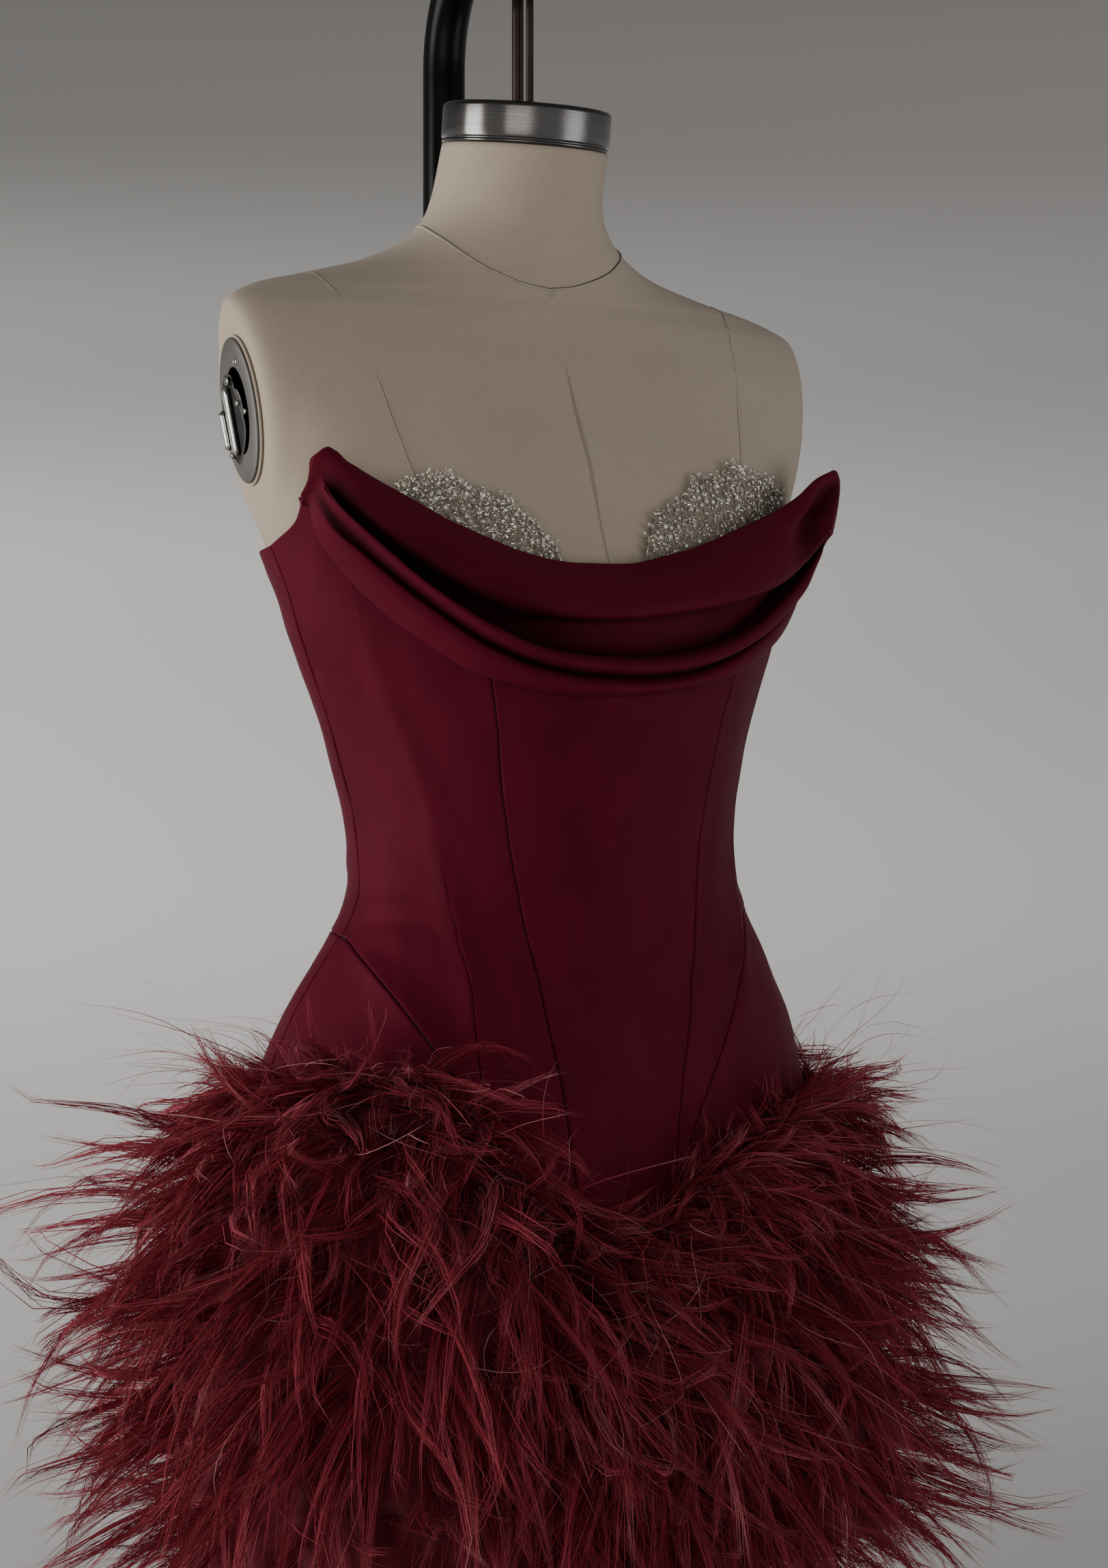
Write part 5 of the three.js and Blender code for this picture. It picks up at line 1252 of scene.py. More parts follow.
    # each end turns back round the corner of the bodice in a soft roll
    ends = []
    for col, sx in ((0, -1), (-1, 1)):
        z = np.array([c[0][col] for c in ctrl])
        a = np.array([c[1][col] for c in ctrl])
        o = np.array([c[2][col] for c in ctrl])
        seat = OUTER + corner(z, a) + 1.3
        for _ in range(4):
            a[1:-1] = a[1:-1] * 0.4 + (a[:-2] + a[2:]) * 0.3
        t_out = unit(skin(z, a + sx * 1.0, o) - skin(z, a, o))
        n_in = unit(skin(z, a, 0.0 * o) - skin(z, a, o))
        deep = np.maximum(o - seat, 0.6)
        for _ in range(6):
            deep[1:-1] = deep[1:-1] * 0.4 + (deep[:-2] + deep[2:]) * 0.3
        deep = deep * np.interp(np.arange(28), [0, 19, 24, 27], [1, 1, 0.45, 0.2])
        wide = np.minimum(3.2, deep * 0.3 + 0.9) * np.interp(np.arange(28), [0, 21, 25, 27], [1, 1, 0.3, 0.15])
        for v in (t_out, n_in):
            for _ in range(6):
                v[1:-1] = unit(v[1:-1] * 0.4 + (v[:-2] + v[2:]) * 0.3)
        ph = (np.arange(1, 12) / 11.0 * np.pi)[None, :, None]
        arc_p = p[col][:, None] + t_out[:, None] * wide[:, None, None] * np.sin(ph) + n_in[:, None] * (deep[:, None, None] / 2) * (1 - np.cos(ph))
        drop = (0.0 if sx < 0 else 24.0) * (1 - smooth(0.0, 0.62, np.clip((np.arange(28) - 3) / 22.0, 0, 1)))
        arc_p[..., 2] -= drop[:, None] * (1 - np.cos(ph[..., 0])) / 2
        ends.append(np.transpose(arc_p, (1, 0, 2)))
    full = np.concatenate([ends[0][::-1], p, ends[1]], 0)
    at, g = spline_rows(full, 102)
    # painted shade for each row, as the light that reaches it: little in the hollow and under the lower fold
    one = np.ones(n)
    light = np.stack([v * one for v in (0.5, 0.6, 0.8, 0.95, 1, 1, lerp(0.94, 1.0, crisp), lerp(0.74, 0.98, crisp), lerp(0.48, 0.92, crisp), lerp(0.30, 0.6, crisp), lerp(0.22, 0.16, crisp),
                      lerp(0.18, 0.72, crisp), lerp(0.17, 0.62, crisp), lerp(0.16, 0.26, crisp), 0.18, 0.80, 1, 0.85, 0.30, 0.10, 0.25, 0.80, 1, 1, 1, 0.95, 0.6, 0.5)], 1)
    near = np.maximum(smooth(-0.93, -0.995, t), smooth(0.955, 0.998, t))
    light = lerp(light, 0.9, near[:, None])
    # painted shade along the crease where the wearer's left point folds in on itself
    where = np.interp(t, [0.78, 0.835, 0.91, 0.975], [6.6, 6.5, 6.3, 5.2])
    wide = np.interp(t, [0.78, 0.835, 0.91, 0.975], [1.7, 1.5, 1.15, 0.75])
    crease_shade_paint = np.exp(-((np.arange(28)[None] - where[:, None]) / wide[:, None]) ** 2) * np.interp(t, [0.72, 0.80, 0.87, 0.965, 0.982, 0.993], [0, 0.32, 0.72, 0.92, 0.7, 0])[:, None]
    light = light * (1 - 0.86 * crease_shade_paint)
    light = np.stack([np.interp(at, np.arange(28), row) for row in light])
    light = np.concatenate([np.repeat(light[:1], 11, 0), light, np.repeat(light[-1:], 11, 0)], 0)
    # soften along the cloth, so the gathered points have no kinks
    for k in range(4):
        keep = g.copy()
        g[1:-1] = g[1:-1] * 0.5 + (g[:-2] + g[2:]) * 0.25
        if k > 1:
            g[16:-16] = keep[16:-16]
    nrm = normals_of(g)
    if (nrm[:, 30] * np.array([0, -1, 0])).sum() < 0:
        nrm = -nrm
    wob = 0.45 * wander(g, 71, 38.0) + 0.22 * wander(g, 72, 15.0)
    g = g + nrm * wob[..., None] * 0.8
    return g, nrm, light


g, nrm, light = cowl_grid()
# smooth normals for the inside of the cloth, so tight folds do not cross
for _ in range(3):
    nrm[:, 1:-1] = unit(nrm[:, 1:-1] * 0.5 + (nrm[:, :-2] + nrm[:, 2:]) * 0.25)
inside = g - nrm * 1.25
co, f, uv = shell_of(g, inside, grid_map(g), 0.35)
ring = len(co) - 2 * light.size
along_t = np.concatenate([np.ones(11), np.abs(np.sin(np.linspace(-1, 1, len(light) - 22) * np.pi / 2 * 0.93)) / math.sin(math.pi / 2 * 0.93), np.ones(11)])
# painted shade: the inside of the cloth is darkened to 0.25 except near the points, and the rolled rim to 0.85
inside_shade_paint = lerp(0.25, np.minimum(light, 0.92), smooth(0.76, 0.88, along_t)[:, None])
shade = np.concatenate([light.ravel(), inside_shade_paint.ravel(), np.full(ring, 0.85)])
cowl = add(mesh_object("cowl_folds", co, tris_of(f), CREPE_SHADE_PAINT, uv=uv, shade=shade), "crepe", "cowl_drape")
size = [float(np.linalg.norm(np.diff(g, axis=0), axis=2).sum(0).max()), float(np.linalg.norm(np.diff(g, axis=1), axis=2).sum(1).max())]
FLAT["cowl_folds"] = (size, area_of(g), "draped", ("panel_front_centre", "panel_side_front_right", "panel_side_front_left"))

# ------------------------------------------------------------ beaded lace cups
def gems(points, axes, sizes, kind):
    """Many small faceted bodies at once: kind 0 is a bead of eight faces, 1 a cut crystal."""
    points, axes, sizes = np.asarray(points, float), unit(np.asarray(axes, float)), np.asarray(sizes, float)
    if kind == 0:
        v = np.array([[1, 0, 0], [0, 1, 0], [-1, 0, 0], [0, -1, 0], [0, 0, 1], [0, 0, -1]], float)
        f = np.array([[0, 1, 4], [1, 2, 4], [2, 3, 4], [3, 0, 4], [1, 0, 5], [2, 1, 5], [3, 2, 5], [0, 3, 5]])
    else:
        m = 8
        a = np.arange(m) * 2 * np.pi / m
        v = np.concatenate([np.stack([np.cos(a) * 0.56, np.sin(a) * 0.56, np.full(m, 0.62)], 1),
                            np.stack([np.cos(a + np.pi / m), np.sin(a + np.pi / m), np.full(m, 0.22)], 1),
                            np.stack([np.cos(a) * 0.92, np.sin(a) * 0.92, np.full(m, -0.25)], 1),
                            [[0, 0, 0.64], [0, 0, -0.7]]])
        f = []
        for i in range(m):
            j = (i + 1) % m
            f += [[i, j, 3 * m], [i, m + i, j], [j, m + i, m + j], [m + i, 2 * m + j, m + j], [m + i, 2 * m + i, 2 * m + j], [2 * m + j, 2 * m + i, 3 * m + 1]]
        f = np.array(f)
    ref = np.where(np.abs(axes[:, 2:3]) < 0.9, np.array([[0, 0, 1.0]]), np.array([[1.0, 0, 0]]))
    e1 = unit(np.cross(ref, axes))
    e2 = np.cross(axes, e1)
    co = points[:, None] + sizes[:, None, None] * (v[None, :, :1] * e1[:, None] + v[None, :, 1:2] * e2[:, None] + v[None, :, 2:] * axes[:, None])
    n, k = len(points), len(v)
    faces = (f[None] + (np.arange(n) * k)[:, None, None]).reshape(-1, 3)
    return co.reshape(-1, 3), faces


def lace_cup(side, sx, rows, tail, seed):
    rng = np.random.default_rng(seed)
    a0 = rows[0, 0]
    top = Curve(rows[:, 0], rows[:, 1])
    fine_a = np.linspace(a0 - 2, tail + 2, 200)
    s_of = np.concatenate([[0], np.cumsum(per_degree(np.full(199, 1255.0), sx * (fine_a[1:] + fine_a[:-1]) / 2) * np.diff(fine_a))])
    to_s = lambda a: np.interp(a, fine_a, s_of)
    to_a = lambda s: np.interp(s, s_of, fine_a)
    s_lo, s_hi = float(to_s(a0)), float(to_s(tail))
    ph = rng.uniform(0, 6.28, 6)

    def upper(s):
        """The worn upper outline: sprays of leaves with notches between."""
        a = to_a(s)
        w = 2.3 * np.sin(s / 5.2 + ph[0]) + 1.9 * np.abs(np.sin(s / 8.1 + ph[1])) + 1.1 * np.sin(s / 2.3 + ph[2]) - 0.6
        ends = smooth(s_lo - 1, s_lo + 7, s) * (1 - 0.6 * smooth(s_hi - 6, s_hi + 1, s))
        return top(a) + w * ends - 0.6

    def place(s, z, off):
        a = sx * to_a(s)
        p = skin(z, a, off)
        return p, form_normals(z, a)

    # net ground: thin, its upper edge cut round the motifs
    ni, nj = 110, 26
    s = np.linspace(s_lo, s_hi, ni)
    zb = NECK(to_a(s)) - 5.0
    zt = np.maximum(upper(s), zb + 7.5)
    zz = lerp(zb[:, None], zt[:, None], np.linspace(0, 1, nj)[None])
    aa = sx * to_a(s)[:, None] * np.ones((1, nj))
    bump = 0.18 * wander(np.stack([s[:, None] + 0 * zz, zz, 0 * zz], -1), seed, 5.0)
    outer = skin(zz, aa, 2.85 + bump)
    inner = skin(zz, aa, 2.25 + 0 * bump)
    co, f, uv = shell_of(outer, inner, grid_map(outer), 0.4)
    ground = add(mesh_object("lace_ground_" + side, co, tris_of(f), NET, uv=uv), "beaded_lace", "lace_cup_" + side)
    FLAT[ground.name] = ([float(s_hi - s_lo) * 1.02, float((zt - zb).max()) * 1.05], area_of(outer), "draped", ("form_torso",))

    # strings of small beads laid along a flowing field, a bead's width apart
    cell, taken = 1.0, {}

    def free(x, z, own, gap=0.98):
        i, j = int(x // cell), int(z // cell)
        for di in (-1, 0, 1):
            for dj in (-1, 0, 1):
                for (bx, bz, o) in taken.get((i + di, j + dj), ()):
                    if o != own and (bx - x) ** 2 + (bz - z) ** 2 < gap * gap:
                        return False
        return True

    def hold(x, z, own):
        taken.setdefault((int(x // cell), int(z // cell)), []).append((x, z, own))

    def flow(x, z):
        return (0.75 * sx + 1.3 * math.sin(x / 6.0 + ph[3]) + 1.2 * math.sin(z / 4.6 + x / 13.0 + ph[4]) + 0.9 * math.sin((x - z) / 2.7 + ph[5]))

    beads, strings = [], []
    zb_f, zt_f = (lambda x: float(np.interp(x, s, zb)) + 3.5), (lambda x: float(np.interp(x, s, zt)) - 0.3)
    own = 0
    for _ in range(2600):
        x, z = rng.uniform(s_lo, s_hi), rng.uniform(1219, 1292)
        if not zb_f(x) < z < zt_f(x):
            continue
        own += 1
        if not free(x, z, own):
            continue
        for turn_ in (1, -1):
            px, pz = x, z
            length = rng.integers(2, 9)
            for step in range(length):
                if step or turn_ == 1:
                    beads.append((px, pz, rng.uniform(0.40, 0.56)))
                    hold(px, pz, own)
                th = flow(px, pz)
                nx_, nz_ = px + turn_ * 0.98 * math.cos(th), pz + turn_ * 0.98 * math.sin(th)
                if not (s_lo < nx_ < s_hi and zb_f(nx_) < nz_ < zt_f(nx_)) or not free(nx_, nz_, own):
                    break
                px, pz = nx_, nz_
        if len(beads) > 1500:
            break
    # sprays along the upper edge: curled stems of beads, some ending in a stone
    stones = []
    x = s_lo + 2.0
    while x < s_hi - 1.0:
        z = zt_f(x) - 0.5
        th = math.pi / 2 + rng.uniform(-0.8, 0.8)
        curl = rng.uniform(-0.34, 0.34)
        px, pz = x, z
        for step in range(int(rng.integers(4, 9))):
            beads.append((px, pz, rng.uniform(0.38, 0.5)))
            px, pz = px + 0.85 * math.cos(th), pz + 0.85 * math.sin(th)
            th += curl
            if step in (2, 4):
                for q in (-1, 1):  # small leaves in pairs
                    lx, lz = px + 0.9 * math.cos(th + q * 1.2), pz + 0.9 * math.sin(th + q * 1.2)
                    beads.append((lx, lz, 0.42))
                    beads.append((lx + 0.75 * math.cos(th + q * 0.8), lz + 0.75 * math.sin(th + q * 0.8), 0.36))
        if rng.random() < 0.45:
            stones.append((px, pz, rng.uniform(0.7, 1.05)))
        x += rng.uniform(1.6, 3.2)
    # set stones, closer together near the upper edge, some ringed with beads
    tries = 0
    while len(stones) < 150 and tries < 9000:
        tries += 1
        x, z = rng.uniform(s_lo + 1, s_hi - 1), rng.uniform(1222, 1292)
        lo_z, hi_z = zb_f(x), zt_f(x)
        if not lo_z < z < hi_z - 0.6:
            continue
        depth = hi_z - z
        gap = 2.9 + 0.06 * depth + (1.6 if depth > 20 else 0)
        if any((x - q[0]) ** 2 + (z - q[1]) ** 2 < gap * gap for q in stones):
            continue
        r = float(rng.choice([0.75, 0.95, 1.2, 1.5], p=[0.35, 0.33, 0.22, 0.10]))
        stones.append((x, z, r))
        if r > 1.0 and rng.random() < 0.6:
            m = int(2 * np.pi * (r + 0.75) / 0.86)
            for q in range(m):
                t_ = q * 2 * np.pi / m
                beads.append((x + (r + 0.75) * math.cos(t_), z + (r + 0.75) * math.sin(t_) * 1.12, 0.40))
    # petals: small closed loops of cord in sprays
    loops, tries = [], 0
    while len(loops) < 330 and tries < 14000:
        tries += 1
        x, z = rng.uniform(s_lo + 0.6, s_hi - 0.6), rng.uniform(1219, 1293)
        if not zb_f(x) - 1 < z < zt_f(x) + 0.8:
            continue
        if any((x - q[0]) ** 2 + (z - q[1]) ** 2 < 1.6 ** 2 for q in loops):
            continue
        loops.append((x, z, flow(x, z) + rng.choice([0.0, 1.57, 0.7, -0.7]) + rng.normal(0, 0.5), rng.uniform(1.9, 3.7)))
    # sprays that stand up out of the upper edge
    x = s_lo + 1.0
    while x < s_hi - 1.0:
        z = zt_f(x)
        th = math.pi / 2 + rng.uniform(-0.5, 0.5)
        if rng.random() < 0.62:
            tall = rng.uniform(1.2, 4.2)
            for q in range(int(rng.integers(2, 5))):
                t_ = th + rng.uniform(-1.1, 1.1)
                loops.append((x + tall * 0.4 * q * math.cos(th), z + tall * 0.4 * q * math.sin(th) - 0.5, t_, rng.uniform(2.0, 3.2)))
        x += rng.uniform(1.8, 4.4)
    ring_t = np.linspace(0, 2 * np.pi, 10, endpoint=False)
    petal_x, petal_z = 0.5 - 0.5 * np.cos(ring_t), 0.27 * np.sin(ring_t) * np.sqrt(np.clip(0.5 - 0.5 * np.cos(ring_t), 0, 1)) ** 0.6
    petals = []
    for x, z, th, ln in loops:
        lx = x + ln * (petal_x * math.cos(th) - petal_z * math.sin(th))
        lz = z + ln * (petal_x * math.sin(th) + petal_z * math.cos(th))
        q, nq = place(np.clip(lx, s_lo - 1.5, s_hi + 1.5), lz, 3.25)
        q = q + nq * (0.25 + 0.45 * np.sin(ring_t / 2)[:, None] + rng.uniform(0, 0.5))
        petals.append(tube_parts(q, rng.uniform(0.19, 0.27), 3, closed=True))
    b, st = np.array(beads), np.array(stones)
    p, nrm = place(b[:, 0], b[:, 1], 3.0)
    p = p + nrm * (b[:, 2:3] * 0.9 + rng.uniform(0, 0.35, (len(b), 1)))
    tilt_ = unit(nrm + rng.normal(0, 0.45, nrm.shape))
    co1, f1 = gems(p, tilt_, b[:, 2], 0)
    p2, n2 = place(st[:, 0], st[:, 1], 3.3)
    p2 = p2 + n2 * (st[:, 2:3] * 0.5 + 0.35)
    co2, f2 = gems(p2, unit(n2 + rng.normal(0, 0.16, n2.shape)), st[:, 2], 1)
    parts = [(co1, f1), (co2, f2)] + petals
    offs, cos_, fs_, which = 0, [], [], []
    for k, (c_, f_) in enumerate(parts):
        cos_.append(c_)
        fs_.append(f_ + offs)
        which.append(np.full(len(f_), 1 if k == 1 else 0))
        offs += len(c_)
    co, f = np.concatenate(cos_), np.concatenate(fs_)
    ob = add(mesh_object("lace_beads_" + side, co, f, [SILVER, CRYSTAL], uv=co[:, [0, 2]], flat=True, which=np.concatenate(which)), "beaded_lace")
    return ground, ob


LACE_SETS = {}
for side, sx, rows, tail, seed in (("right", -1, LACE_RIGHT, 41, 301), ("left", 1, LACE_LEFT, 53, 302)):
    LACE_SETS[side] = lace_cup(side, sx, rows, tail, seed)

# -------------------------------------------------------------- ostrich feathers
F_TOP = {-1: Curve(FEATHER_TOP[:, 0], FEATHER_TOP[:, 1]), 1: Curve(FEATHER_TOP[:, 0], FEATHER_TOP[:, 2])}
UP = np.array([0.0, 0.0, 1.0])


def feather_line(psi):
    return np.where(psi < 0, F_TOP[-1](np.abs(psi)), F_TOP[1](np.abs(psi)))


def even_angles(z, count, rng, jitter):
    """Angles spaced evenly along the cloth round the skirt at one height, leaving the slit behind."""
    a = np.linspace(-176.5, 176.5, 400)
    p = skin(np.full(400, z), a, OUTER)
    s = np.concatenate([[0], np.cumsum(np.linalg.norm(np.diff(p, axis=0), axis=1))])
    t = (np.arange(count) + 0.5 + rng.uniform(-jitter, jitter, count)) / count * s[-1]
    return np.interp(np.clip(t, 0, s[-1]), s, a)


def settle(p):
    """Keep the plumes round the pole behind and inside the room they have."""
    x, y, z = p[..., 0].copy(), p[..., 1].copy(), p[..., 2].copy()
    w = smooth(84, 104, y)
    # each strand stays on its root's side of the pole
    sg = np.where((x[:, :1] if x.ndim > 1 else x) < 0, -1.0, 1.0)
    ax = x * sg
    squeezed = np.where(ax < 66, 20.5 + np.maximum(ax, 0) * (45.5 / 66), ax)
    x = sg * lerp(ax, squeezed, w)
    for arr, start, end in ((x, 284.0, 307.0), (y, 206.0, 232.0)):
        big = np.abs(arr) > start
        arr[big] = np.sign(arr[big]) * (start + (end - start) * np.tanh((np.abs(arr[big]) - start) / (end - start)))
    low = z < 622
    z[low] = 622 - 38 * np.tanh((622 - z[low]) / 38)
    return np.stack([x, y, z], -1)


def plumes(rng, psi, z, length, elev, droop, yaw, sweep, wisps, each, points, root_r=8.0, fan=7.0, loose=2.2, width=0.95, tone=0.0, stray=0.12, curl=1.0, root_shade=0.08):
    """Feather barbs as tapered strips. Every plume leaves its root on the skirt, bends under its
    own weight and gathers to a few pointed wisps; a few barbs stray. All angles in degrees."""
    T = len(psi)
    psi, z, length, elev, droop, yaw, sweep = [np.repeat(np.asarray(v, float), wisps) for v in (psi, z, length, elev, droop, yaw, sweep)]
    N = T * wisps
    length = length * rng.uniform(0.78, 1.12, N)
    elev = elev + rng.normal(0, fan, N)
    yaw = yaw + rng.normal(0, fan * 1.3, N)
    droop = droop * rng.uniform(0.8, 1.2, N)
    root = skin(z, psi, OUTER + 1.4)
    n = skin(z, psi, 30.0) - root
    n[:, 2] = 0
    n = unit(n)
    tau = np.cross(UP, n)
    S = 28
    s = np.linspace(0, 1, S)
    flick = rng.normal(30, 34, N)[:, None]       # many tips turn up again
    th = rad(elev[:, None] - droop[:, None] * s[None] ** 1.15 + flick * s[None] ** 3 + rng.normal(0, 9, N)[:, None] * np.sin(s[None] * 2 * np.pi))
    twist = rng.normal(0, 30, N)[:, None] * np.sin(s[None] * np.pi * rng.uniform(0.7, 1.7, N)[:, None])
    ph = rad(yaw[:, None] + sweep[:, None] * s[None] ** 1.8 + twist)
    d = (np.cos(th) * np.cos(ph))[..., None] * n[:, None] + (np.cos(th) * np.sin(ph))[..., None] * tau[:, None] + np.sin(th)[..., None] * UP
    step = d * (length[:, None, None] / (S - 1))
    path = root[:, None] + np.concatenate([np.zeros((N, 1, 3)), np.cumsum((step[:, 1:] + step[:, :-1]) / 2, 1)], 1)

    Q = N * each
    own = np.repeat(np.arange(N), each)
    f = np.clip(rng.beta(5, 1.8, Q) * 1.08, 0.34, 1.06)
    f = np.minimum(f, 1.0)
    k = np.linspace(0, 1, points) ** 0.92
    at = k[None] * f[:, None] * (S - 1)
    i0 = np.clip(at.astype(int), 0, S - 2)
    u = (at - i0)[..., None]
    p = path[own[:, None], i0] * (1 - u) + path[own[:, None], i0 + 1] * u
    # roots spread over a patch of the banding, drawn together as the barb leaves it
    r1, r2 = rng.normal(0, root_r * 0.62, Q), rng.normal(0, root_r * 0.5, Q)
    gather = ((1 - k) ** 1.35)[None, :, None]
    p = p + (r1[:, None] * tau[own] + r2[:, None] * UP)[:, None] * gather
    # barbs keep a little apart, strays more
    odd = rng.random(Q) < stray
    amount = np.where(odd, loose * 3.4, loose) * rng.uniform(0.5, 1.3, Q)
    away = rng.normal(0, 1, (Q, 3))
    tight = (np.sin(np.pi * np.clip(k, 0, 1) ** 0.8) * 0.95 + k ** 2 * 0.18)[None, :, None]
    wild = (np.sin(np.pi * np.clip(k * 0.9, 0, 1)) * 0.6 + k ** 2 * 0.7)[None, :, None]
    p = p + away[:, None] * amount[:, None, None] * np.where(odd[:, None, None], wild, tight)
    # small waves and the curl of the tips
    v1, v2 = unit(rng.normal(0, 1, (Q, 3))), unit(rng.normal(0, 1, (Q, 3)))
    w1 = rng.uniform(5, 13, Q)[:, None] * k[None] + rng.uniform(0, 6.28, Q)[:, None]
    amp = (0.30 + 0.5 * k)[None] * rng.uniform(0.3, 1.1, Q)[:, None] * np.where(odd, 2.2, 1.0)[:, None]
    p = p + v1[:, None] * (np.sin(w1) * amp)[..., None] + v2[:, None] * (np.cos(w1 * 0.8) * amp * 0.8)[..., None]
    bend = rng.normal(0, 1, (Q, 3))
    bend[:, 2] = bend[:, 2] * 0.8 - 0.15
    tail = np.clip((k - 0.5) / 0.5, 0, 1) ** 2.1
    p = p + bend[:, None] * (tail[None] * (curl * rng.gamma(1.6, 2.6, Q) * np.where(odd, 1.1, 0.32))[:, None])[..., None]
    p = settle(p)
    # strips
    t = unit(np.gradient(p, axis=1))
    ref = rng.normal(0, 1, (Q, 1, 3)) + rng.normal(0, 0.8, (Q, 1, 3)) * k[None, :, None]
    b = unit(np.cross(t, ref))
    w = width * rng.uniform(0.65, 1.25, Q)[:, None] * np.interp(k, [0, 0.12, 0.5, 0.85, 1], [0.7, 1.0, 0.82, 0.42, 0.2])[None]
    left, right = p - b * w[..., None] / 2, p + b * w[..., None] / 2
    co = np.concatenate([np.stack([left[:, :-1], right[:, :-1]], 2).reshape(Q, -1, 3), p[:, -1:]], 1)
    nv = co.shape[1]
    m = np.arange(points - 2)
    quads = np.concatenate([np.stack([2 * m, 2 * m + 1, 2 * m + 3], 1), np.stack([2 * m, 2 * m + 3, 2 * m + 2], 1), [[2 * points - 4, 2 * points - 3, 2 * points - 2]]])
    faces = (quads[None] + (np.arange(Q) * nv)[:, None, None]).reshape(-1, 3)
    # shade along each barb: the rise from dark roots to lighter tips is partly painted shade of the mass over the roots
    # and partly the plumes' own tone; the random tone for each barb and each wisp is their own
    strand_tone = rng.normal(0, 0.07, Q) + np.repeat(rng.normal(0, 0.085, N), each) + tone
    sh = root_shade + 0.60 * np.concatenate([np.repeat(k[:-1], 2), k[-1:]])[None] ** 0.85 + strand_tone[:, None]
    return co.reshape(-1, 3), faces, np.clip(sh, 0, 1).ravel()


def gathered(name, parts, slot, *nodes):
    cos_, fs_, sh_, n = [], [], [], 0
    for c_, f_, s_ in parts:
        cos_.append(c_)
        fs_.append(f_ + n)
        sh_.append(s_)
        n += len(c_)
    ob = mesh_object(name, np.concatenate(cos_), np.concatenate(fs_), FEATHER, shade=np.concatenate(sh_))
    return add(ob, slot, *nodes)


# fraction of the way down, tufts, lift, droop, length, barbs in a wisp, points on a barb, lift added at the sides
ROWS = [
    (0.00, 78, 26, 76, 132, 25, 6, -22),
    (0.09, 78, 11, 74, 150, 25, 6, -14),
    (0.21, 76, -2, 70, 166, 25, 6, -4),
    (0.35, 74, -14, 64, 174, 25, 6, 6),
    (0.51, 72, -24, 56, 168, 25, 6, 20),
    (0.67, 70, -34, 46, 148, 24, 6, 34),
    (0.83, 68, -46, 34, 118, 23, 6, 46),
    (0.95, 88, -64, 16, 84, 12, 6, 40),
]
FEATHER_FOOT = 648.0
# how long the plumes are round the skirt in each row, by angle: they are fuller on the
# wearer's right and behind, and the left side widens towards the hem
LONG_AT = np.array([-180, -150, -120, -85, -50, -22, 0, 22, 45, 70, 95, 130, 155, 180], float)
LONG = [
    [0.78, 0.62, 0.54, 0.62, 0.78, 0.72, 0.56, 0.56, 0.54, 0.50, 0.54, 0.76, 0.88, 0.86],
    [0.80, 0.72, 0.68, 0.74, 0.84, 0.80, 0.64, 0.62, 0.58, 0.54, 0.58, 0.78, 0.90, 0.84],
    [0.82, 0.90, 0.88, 0.88, 0.92, 0.88, 0.78, 0.74, 0.68, 0.61, 0.66, 0.84, 0.92, 0.82],
    [0.82, 1.10, 1.12, 1.02, 0.96, 0.94, 0.90, 0.86, 0.78, 0.71, 0.75, 0.88, 0.92, 0.82],
    [0.82, 1.22, 1.26, 1.10, 1.00, 0.98, 0.96, 0.96, 0.92, 0.86, 0.86, 0.94, 0.94, 0.82],
    [0.86, 1.32, 1.38, 1.14, 1.00, 1.00, 1.00, 1.06, 1.12, 1.10, 1.04, 1.02, 0.98, 0.86],
    [0.92, 1.42, 1.50, 1.18, 1.00, 1.00, 1.00, 1.08, 1.32, 1.40, 1.22, 1.08, 1.00, 0.92],
    [1.00, 1.50, 1.60, 1.20, 1.00, 1.00, 1.00, 1.05, 1.35, 1.50, 1.30, 1.10, 1.00, 1.00],
]


def row_parts(k):
    frac, count, lift_, droop_, long_, each, points, flare = ROWS[k]
    rng = np.random.default_rng(900 + k)
    mid_z = lerp(900.0, FEATHER_FOOT, frac)
    psi = even_angles(mid_z, count, rng, 0.45)
    z = lerp(feather_line(psi), FEATHER_FOOT, frac) + rng.normal(0, 5.0, count) - (3.0 if k == 0 else 0)
    swell = 1 + 0.08 * np.sin(rad(psi) * 5 + k * 1.7) + 0.06 * np.sin(rad(psi) * 11 + k)
    L = long_ * swell * np.interp(psi, LONG_AT, LONG[k]) * rng.uniform(0.84, 1.14, count)
    sides = np.maximum(np.exp(-(((psi + 118) / 46) ** 2)), np.exp(-(((psi - 62) / 42) ** 2))) if flare > 0 else smooth(58, 100, np.abs(psi))
    e = lift_ + flare * sides + rng.normal(0, 10, count) + 6 * np.sin(rad(psi) * 4 + k * 2.1)
    dr = droop_ * rng.uniform(0.78, 1.22, count)
    yaw = rng.normal(0, 17, count)
    # behind, the plumes part to both sides of the pole
    yaw = yaw - np.sign(psi) * 34 * smooth(150, 176, np.abs(psi))
    # painted shade: the lower tiers, which lie under the plumes of the tiers above, get a darker tone
    tone = [0.03, 0.02, 0.01, 0.0, -0.02, -0.03, -0.04, -0.06][k]
    return plumes(rng, psi, z, L, e, dr, yaw, rng.normal(0, 30, count), 4, each, points, root_r=8, loose=1.9, width=0.86, stray=0.13, tone=tone, fan=12)


def edge_fluff():
    """Short down standing along the top edge."""
    rng = np.random.default_rng(951)
    count = 118
    psi = even_angles(905.0, count, rng, 0.48)
    z = feather_line(psi) + rng.normal(-2, 3.5, count)
    return plumes(rng, psi, z, rng.uniform(26, 58, count), rng.normal(46, 13, count) - 26 * smooth(62, 104, np.abs(psi)), rng.uniform(10, 60, count), rng.normal(0, 26, count), rng.normal(0, 50, count), 2, 13, 7, root_r=6, fan=13, loose=1.6, tone=0.04, curl=0.8, width=0.6)


